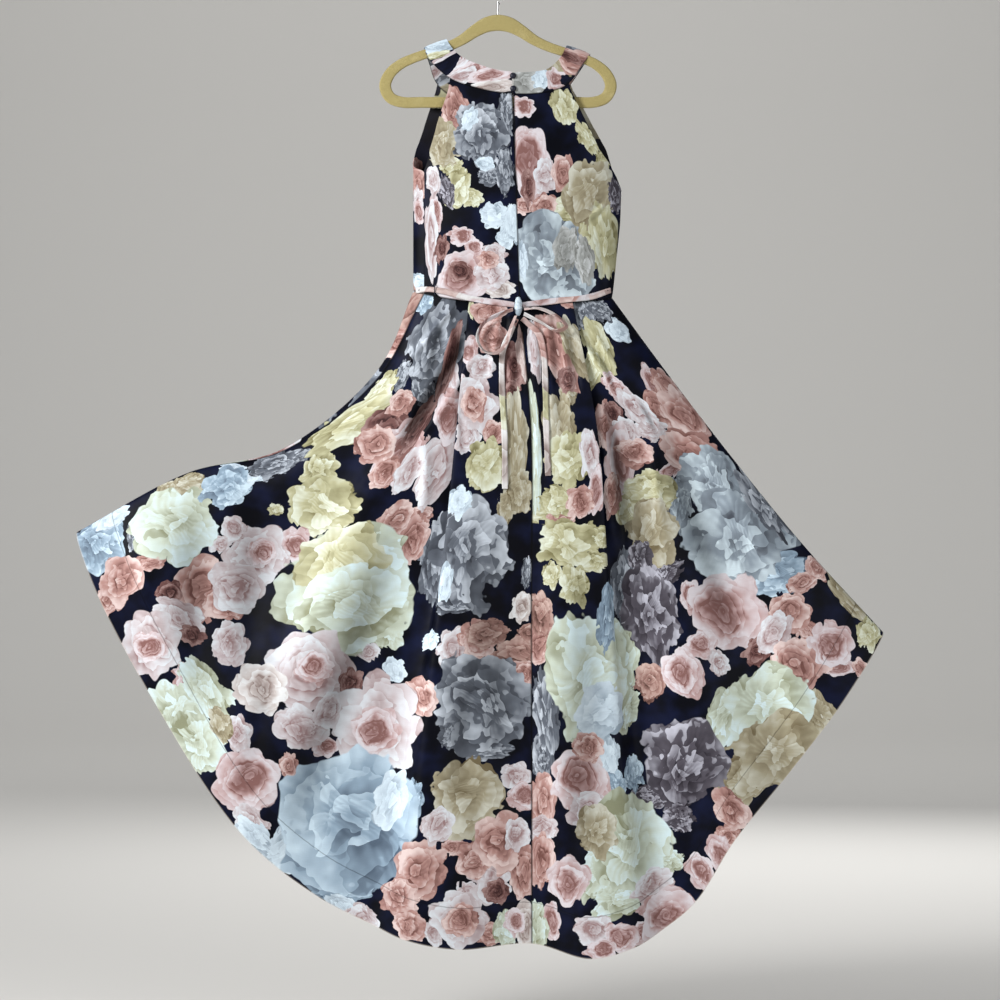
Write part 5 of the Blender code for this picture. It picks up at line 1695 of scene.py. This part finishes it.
# A round cord whose skin shows its twist.
def twistedCord(name, node, path, radius, twist, finish):
    along, run = np.gradient(path, axis=0), runAlong(path)
    sides, points = 12, []
    side = unit(np.cross(along[len(along) // 2], (0.3, 1.0, 0.1)))
    for k, place in enumerate(path):
        ahead = unit(along[k])
        wide = unit(side - ahead * np.dot(side, ahead))
        high = np.cross(ahead, wide)
        for m in range(sides):
            angle = 2 * math.pi * m / sides
            swell = 0.86 + 0.14 * abs(math.cos(angle + math.pi * run[k] / twist))
            points.append(place + (wide * math.cos(angle) + high * math.sin(angle)) * radius * swell)
    number, faces = ringFaces(len(path), sides)
    faces += [number[0][::-1].tolist(), number[-1].tolist()]
    mesh = meshOf(name, points, faces, finish)
    mesh.shade_smooth()
    outwards(mesh)
    return bringIn(name, mesh, node)


# Leaves only this piece selected and active, ready for editing.
def takeUp(piece):
    bpy.ops.object.select_all(action="DESELECT")
    piece.select_set(True)
    bpy.context.view_layer.objects.active = piece


# The last steps for a hard piece, whose place, turn and size go into its mesh.
def finishHard(piece, name, finish, node):
    takeUp(piece)
    bpy.ops.object.transform_apply(location=True, rotation=True, scale=True)
    bpy.ops.object.shade_smooth_by_angle(angle=math.radians(40))
    piece.name = name
    piece.data.name = name
    piece.data.materials.clear()
    piece.data.materials.append(finish)
    declare(piece, node)


# Navy satin for the buttons and the thread, flocked velvet, zip tape and bright wire: the tones that
# each one runs between, as a screen shows them.
tones = {
    "navy": ((7, 7, 15), (30, 34, 56)),
    "velvet": ((142, 128, 78), (190, 176, 120)),
    "rubbed": (206, 193, 146),
    "tape": ((10, 11, 22), (30, 33, 52)),
    "wire": ((150, 150, 148), (206, 206, 202)),
}


def blended(tree, factor, name):
    return mixColour(tree, factor, *(linear(tone) for tone in tones[name]))


def navyMaterial():
    made, tree, shader = newMaterial("navySatin")
    place = addNode(tree, "TexCoord").outputs["Object"]
    turned = addNode(tree, "Mapping", {"Vector": place, "Rotation": (math.pi / 2, 0, 0)}).outputs["Vector"]
    weave = useGroup(tree, groups["slub"], Place=turned, Length=300.0, Fineness=2600.0)
    colour = blended(tree, weave["Tint"], "navy")
    roughness = between(tree, weave["Height"], 0.3, 0.7, 0.38, 0.56)
    bump = (weave["Height"], 0.4, 0.0004)
    finishMaterial(tree, shader, colour, roughness, bump, {"Specular IOR Level": 0.4})
    return made


def velvetMaterial():
    made, tree, shader = newMaterial("ochreVelvet")
    place = addNode(tree, "TexCoord").outputs["Object"]
    pile = noise(tree, place, 1400.0, 2.0, 0.7).outputs["Fac"]
    rubbed = noise(tree, place, 26.0, 3.0, 0.6).outputs["Fac"]
    colour = blended(tree, stepUp(tree, pile, 0.35, 0.65), "velvet")
    worn = calc(tree, "MULTIPLY", stepUp(tree, rubbed, 0.52, 0.70), 0.30)
    colour = mixColour(tree, worn, colour, linear(tones["rubbed"]))
    roughness = between(tree, rubbed, 0.3, 0.7, 0.96, 0.82)
    nap = {"Sheen Weight": 0.35, "Sheen Roughness": 0.5, "Specular IOR Level": 0.15}
    finishMaterial(tree, shader, colour, roughness, (pile, 0.5, 0.0006), nap)
    return made


def tapeMaterial():
    made, tree, shader = newMaterial("zipTape")
    place = addNode(tree, "TexCoord").outputs["Object"]
    ribs = {"Vector": place, "Scale": 520.0, "Distortion": 0.6}
    twill = addNode(tree, "TexWave", ribs, bands_direction="DIAGONAL").outputs["Fac"]
    roughness = between(tree, twill, 0.0, 1.0, 0.7, 0.85)
    finishMaterial(tree, shader, blended(tree, twill, "tape"), roughness, (twill, 0.4, 0.0003))
    return made


def wireMaterial():
    made, tree, shader = newMaterial("brightWire")
    place = addNode(tree, "TexCoord").outputs["Object"]
    dull = noise(tree, place, 240.0, 3.0, 0.6).outputs["Fac"]
    roughness = between(tree, dull, 0.3, 0.7, 0.22, 0.42)
    finishMaterial(tree, shader, blended(tree, dull, "wire"), roughness, plain={"Metallic": 1.0})
    return made


navySatin, ochreVelvet = navyMaterial(), velvetMaterial()
zipFabric, brightWire = tapeMaterial(), wireMaterial()


# Two covered buttons across the neckband's slit: a dome of cloth pulled over a shell.
button = {
    "places": ((0.0240, -0.1700), (0.0244, -0.1905)),
    "radius": 0.005,
    "foot": 0.86,
    "y": -0.0171,
    "height": 0.0041,
    # each ring's size beside the one before, and its rise: the rim swells out, then the dome closes
    "rings": (
        (1.16, 0.10), (1.0, 0.16), (0.93, 0.26), (0.80, 0.22), (0.66, 0.14), (0.50, 0.08), (0.50, 0.04),
    ),
}


# Draws the selected faces out by a step, in edit mode, and sizes them about their own middle.
def drawOut(piece, step, size=None):
    bpy.ops.mesh.extrude_region_move(TRANSFORM_OT_translate={"value": step})
    if size:
        bpy.ops.transform.resize(value=(size, size, size), center_override=editMiddle(piece))


# The flat shape that a piece is drawn out from.
def startShape(adder, **settings):
    bpy.ops.object.select_all(action="DESELECT")
    adder(**settings)
    return bpy.context.object


def editAll():
    bpy.ops.object.mode_set(mode="EDIT")
    bpy.ops.mesh.select_all(action="SELECT")


def makeButtons():
    x, z = button["places"][0]
    first = startShape(
        bpy.ops.mesh.primitive_circle_add, vertices=40, radius=button["radius"] * button["foot"],
        fill_type="NGON", location=(x, button["y"], z), rotation=(math.pi / 2, 0, 0),
    )
    editAll()
    for size, rise in button["rings"]:
        drawOut(first, (0, -button["height"] * rise, 0), size)
    bpy.ops.object.mode_set(mode="OBJECT")
    soften = first.modifiers.new("soften", "SUBSURF")
    soften.levels = soften.render_levels = 2
    takeUp(first)
    bpy.ops.object.modifier_apply(modifier=soften.name)
    for k, (name, node) in enumerate((("buttonUpper", "button_upper"), ("buttonLower", "button_lower"))):
        piece = first
        if k:
            piece = setDown(name, first.data.copy())
            lowerX, lowerZ = button["places"][k]
            piece.location = (lowerX - x, 0.0, lowerZ - z)
        finishHard(piece, name, navySatin, node)


# The middle of what is selected in edit mode, in world coordinates.
def editMiddle(piece):
    piece.update_from_editmode()
    chosen = [piece.matrix_world @ v.co for v in piece.data.vertices if v.select]
    return tuple(sum(v[k] for v in chosen) / len(chosen) for k in range(3))


# The hanger is a flat flocked frame. Half of its strip is extruded along the bends, then mirrored.
hangerBend = namedtuple("hangerBend", "x z width")
hangerBends = (
    hangerBend(0.000, -0.0833, 0.0260),  # top of the arch
    hangerBend(0.018, -0.0865, 0.0245),
    hangerBend(0.036, -0.0960, 0.0205),
    hangerBend(0.058, -0.1110, 0.0170),
    hangerBend(0.080, -0.1215, 0.0155),
    hangerBend(0.105, -0.1300, 0.0150),
    hangerBend(0.135, -0.1400, 0.0155),
    hangerBend(0.158, -0.1510, 0.0165),
    hangerBend(0.174, -0.1660, 0.0180),
    hangerBend(0.181, -0.1850, 0.0190),  # end of the arm
    hangerBend(0.173, -0.2030, 0.0185),
    hangerBend(0.155, -0.2105, 0.0178),
    hangerBend(0.120, -0.2110, 0.0176),
    hangerBend(0.060, -0.2110, 0.0176),
    hangerBend(0.000, -0.2110, 0.0176),  # middle of the bar
)
hanger = {"thickness": 0.006, "edge": 0.0026, "steps": 6, "weld": 0.0008}


def makeHanger():
    bends = list(hangerBends) + [hangerBend(-b.x, b.z, b.width) for b in reversed(hangerBends[1:-1])]
    steps = hanger["steps"]
    last = (len(hangerBends) - 1) * steps
    rows = curveThrough(bends, np.arange(-1, last + 2) / steps % len(bends), closed=True)
    ahead = rows[2:, :2] - rows[:-2, :2]
    lean = np.unwrap(np.arctan2(ahead[:, 1], ahead[:, 0]))
    rows = rows[1:-1]
    width = rows[0, 2]
    piece = startShape(
        bpy.ops.mesh.primitive_plane_add,
        size=width, location=(0, 0, rows[0, 1]), rotation=(math.pi / 2, 0, 0),
    )
    bpy.ops.object.transform_apply(location=True, rotation=True, scale=True)
    bpy.ops.object.mode_set(mode="EDIT")
    shape = bmesh.from_edit_mesh(piece.data)
    bmesh.ops.delete(shape, geom=[v for v in shape.verts if v.co.x > 0], context="VERTS")
    bmesh.update_edit_mesh(piece.data)
    bpy.ops.mesh.select_all(action="SELECT")
    bpy.ops.transform.translate(value=(width / 2, 0, 0))
    for k in range(1, last + 1):
        step = (rows[k, 0] - rows[k - 1, 0], 0, rows[k, 1] - rows[k - 1, 1])
        drawOut(piece, step)
        here = (rows[k, 0], 0, rows[k, 1])
        bpy.ops.transform.rotate(value=lean[k] - lean[k - 1], orient_axis="Y", center_override=here)
        size = rows[k, 2] / rows[k - 1, 2]
        bpy.ops.transform.resize(value=(size, size, size), center_override=here)
    bpy.ops.object.mode_set(mode="OBJECT")
    for vertex in piece.data.vertices:
        if abs(vertex.co.x) < hanger["weld"]:
            vertex.co.x = 0.0
    weld = {"use_clip": True, "merge_threshold": hanger["weld"] / 4}
    for kind, settings in (
        ("MIRROR", {"use_axis": (True, False, False), **weld}),
        ("SOLIDIFY", {"thickness": hanger["thickness"], "offset": 0.0}),
        ("BEVEL", {"width": hanger["edge"], "segments": 5, "limit_method": "ANGLE"}),
    ):
        made = piece.modifiers.new(kind.lower(), kind)
        for name, value in settings.items():
            setattr(made, name, value)
        takeUp(piece)
        bpy.ops.object.modifier_apply(modifier=made.name)
    editAll()
    bpy.ops.mesh.normals_make_consistent(inside=False)
    bpy.ops.object.mode_set(mode="OBJECT")
    finishHard(piece, "hangerBody", ochreVelvet, "hanger_body")


# The hook: a stem, a small bend, then the ring, spun from its own end.
hook = {
    "wire": 0.0017,
    "radius": 0.0200,
    "foot": -0.0702,
    "bendAt": -0.0491,
    "bend": 0.006,
    "lean": 57,  # how far the stem bends over, in degrees
    "ringFrom": -62,  # where the ring starts, and how far round it goes
    "ringTurn": -262,
    "tip": (0.85, 0.6),  # the sizes its rounded end closes in
}


def makeHook():
    ring = hook["radius"] + hook["wire"]
    piece = startShape(
        bpy.ops.mesh.primitive_circle_add, vertices=20, radius=hook["wire"], fill_type="NGON",
        location=(0, 0, hook["foot"]),
    )
    bpy.ops.object.transform_apply(location=True, rotation=True, scale=True)
    editAll()
    drawOut(piece, (0, 0, hook["bendAt"] - hook["foot"]))
    bendMiddle, ringMiddle = (hook["bend"], 0, hook["bendAt"]), (0, 0, -hook["radius"])
    bpy.ops.mesh.spin(steps=8, angle=math.radians(hook["lean"]), center=bendMiddle, axis=(0, 1, 0))
    end = editMiddle(piece)
    angle = math.radians(hook["ringFrom"])
    target = (ring * math.cos(angle), 0, -hook["radius"] + ring * math.sin(angle))
    drawOut(piece, tuple(target[k] - end[k] for k in range(3)))
    bpy.ops.mesh.spin(steps=60, angle=math.radians(hook["ringTurn"]), center=ringMiddle, axis=(0, 1, 0))
    for size in hook["tip"]:
        drawOut(piece, (0.0001, 0, -0.0005), size)
    bpy.ops.mesh.select_all(action="SELECT")
    bpy.ops.mesh.remove_doubles(threshold=0.00002)
    bpy.ops.mesh.normals_make_consistent(inside=False)
    bpy.ops.object.mode_set(mode="OBJECT")
    finishHard(piece, "hangerHook", brightWire, "hanger_hook")


# The closed zip behind the centre-back seam: its tape, and the row of teeth inside the dress.
zipSize = {
    "width": 0.012,
    "length": 0.281,
    "from": 1 / 12,  # where it runs, as shares of the centre-back seam
    "to": 11 / 12,
    "behind": 0.0028,
    "tape": 0.0006,
    "rows": 80,
    "columns": 7,
    "teeth": 0.0013,
    "radius": 0.0011,
}


def makeZip():
    middle = centreBackEdge()
    shares = np.linspace(zipSize["from"], zipSize["to"], zipSize["rows"])
    grid = np.zeros((len(shares), zipSize["columns"], 3))
    half = zipSize["columns"] // 2
    for r, share in enumerate(shares):
        z = edgeAt(middle, share)[1]
        for c in range(zipSize["columns"]):
            x = centreBackX(z) + zipSize["width"] / 2 * (c - half) / half
            grid[r, c] = torso(turnOf(x, z), z) + np.array([0, zipSize["behind"], 0])
    normals = normalsOf(grid, (0.02, 0.05, -0.35))
    cut = np.stack([runLength(grid, 1), grid[..., 2]], axis=-1)
    tape = clothPiece(
        "zipTape", "zip", grid, normals, cut, (zipFabric,), [], thick=zipSize["tape"]
    )
    path = grid[:, half] - normals[:, half] * (zipSize["tape"] + zipSize["radius"])
    fine = curveThrough(path, np.linspace(0, len(path) - 1, 600))
    teeth = twistedCord("zipTeeth", None, fine, zipSize["radius"], zipSize["teeth"], zipFabric)


def centreBackX(z):
    (topX, topZ), (lowX, lowZ) = centreBackTop, centreBackWaist
    return lowX + (z - lowZ) / (topZ - lowZ) * (topX - lowX)


makeZip()
makeThreadLoop()
makeTie(placesUnderTie(skirtBacks))
print("tie, zip and thread loop made")
makeButtons()
makeHanger()
makeHook()
print("buttons and hanger made")


# The floor sweeps up behind the dress, in soft light from both sides.
studio = {
    "floor": -1.70,
    "near": -12.0,
    "wall": 11.0,
    "top": 9.0,
    "reach": 14.0,
    "sweep": 3.0,
    "paper": (206, 204, 200),
    "camera": (0.0032, -6.5, -0.8487),
    "lens": 145.9,
    "sky": 0.21,
    "skyTone": (0.93, 0.96, 1.0, 1.0),
    "dress": (0.0, 0.0, -0.85),
}
# Each light's place, what it lights, its size and its power.
lights = {
    "keyLight": ((-2.7, -2.1, 0.6), studio["dress"], 1.1, 138),
    "fillLight": ((2.2, -3.2, -0.3), studio["dress"], 2.2, 34),
    "backLight": ((0.9, 3.6, 0.9), studio["dress"], 2.2, 90),
    "backdropLight": ((0.0, 5.5, 5.5), (0.0, studio["wall"], 0.0), 4.0, 300),
}


def makeStudio():
    floor, wall, radius, reach = (studio[name] for name in ("floor", "wall", "sweep", "reach"))
    angles = [math.pi / 2 * k / 12 for k in range(13)]
    sweep = [(wall - radius + radius * math.sin(a), floor + radius * (1 - math.cos(a))) for a in angles]
    profile = [(studio["near"], floor), *sweep, (wall, studio["top"])]
    points = [(x, y, z) for y, z in profile for x in (-reach, reach)]
    faces = [(2 * k, 2 * k + 1, 2 * k + 3, 2 * k + 2) for k in range(len(profile) - 1)]
    paper, tree, shader = newMaterial("palePaper")
    finishMaterial(tree, shader, linear(studio["paper"]), 0.9)
    mesh = meshOf("studioFloor", points, faces, paper)
    mesh.shade_smooth()
    setDown("studioFloor", mesh)

    for name, (place, aim, size, power) in lights.items():
        light = bpy.data.lights.new(name, "AREA")
        light.energy = power
        light.size = size
        lamp = setDown(name, light)
        lamp.location = place
        lamp.rotation_euler = (Vector(aim) - Vector(place)).to_track_quat("-Z", "Y").to_euler()

    world = bpy.data.worlds.new("studioAir")
    world.use_nodes = True
    sky = world.node_tree.nodes["Background"]
    sky.inputs["Color"].default_value = studio["skyTone"]
    sky.inputs["Strength"].default_value = studio["sky"]
    scene.world = world

    lens = bpy.data.cameras.new("studioCamera")
    lens.lens = studio["lens"]
    lens.sensor_width = 36
    camera = setDown("studioCamera", lens)
    camera.location = studio["camera"]
    camera.rotation_euler = (math.pi / 2, 0, 0)
    scene.camera = camera


makeStudio()
print("studio set")
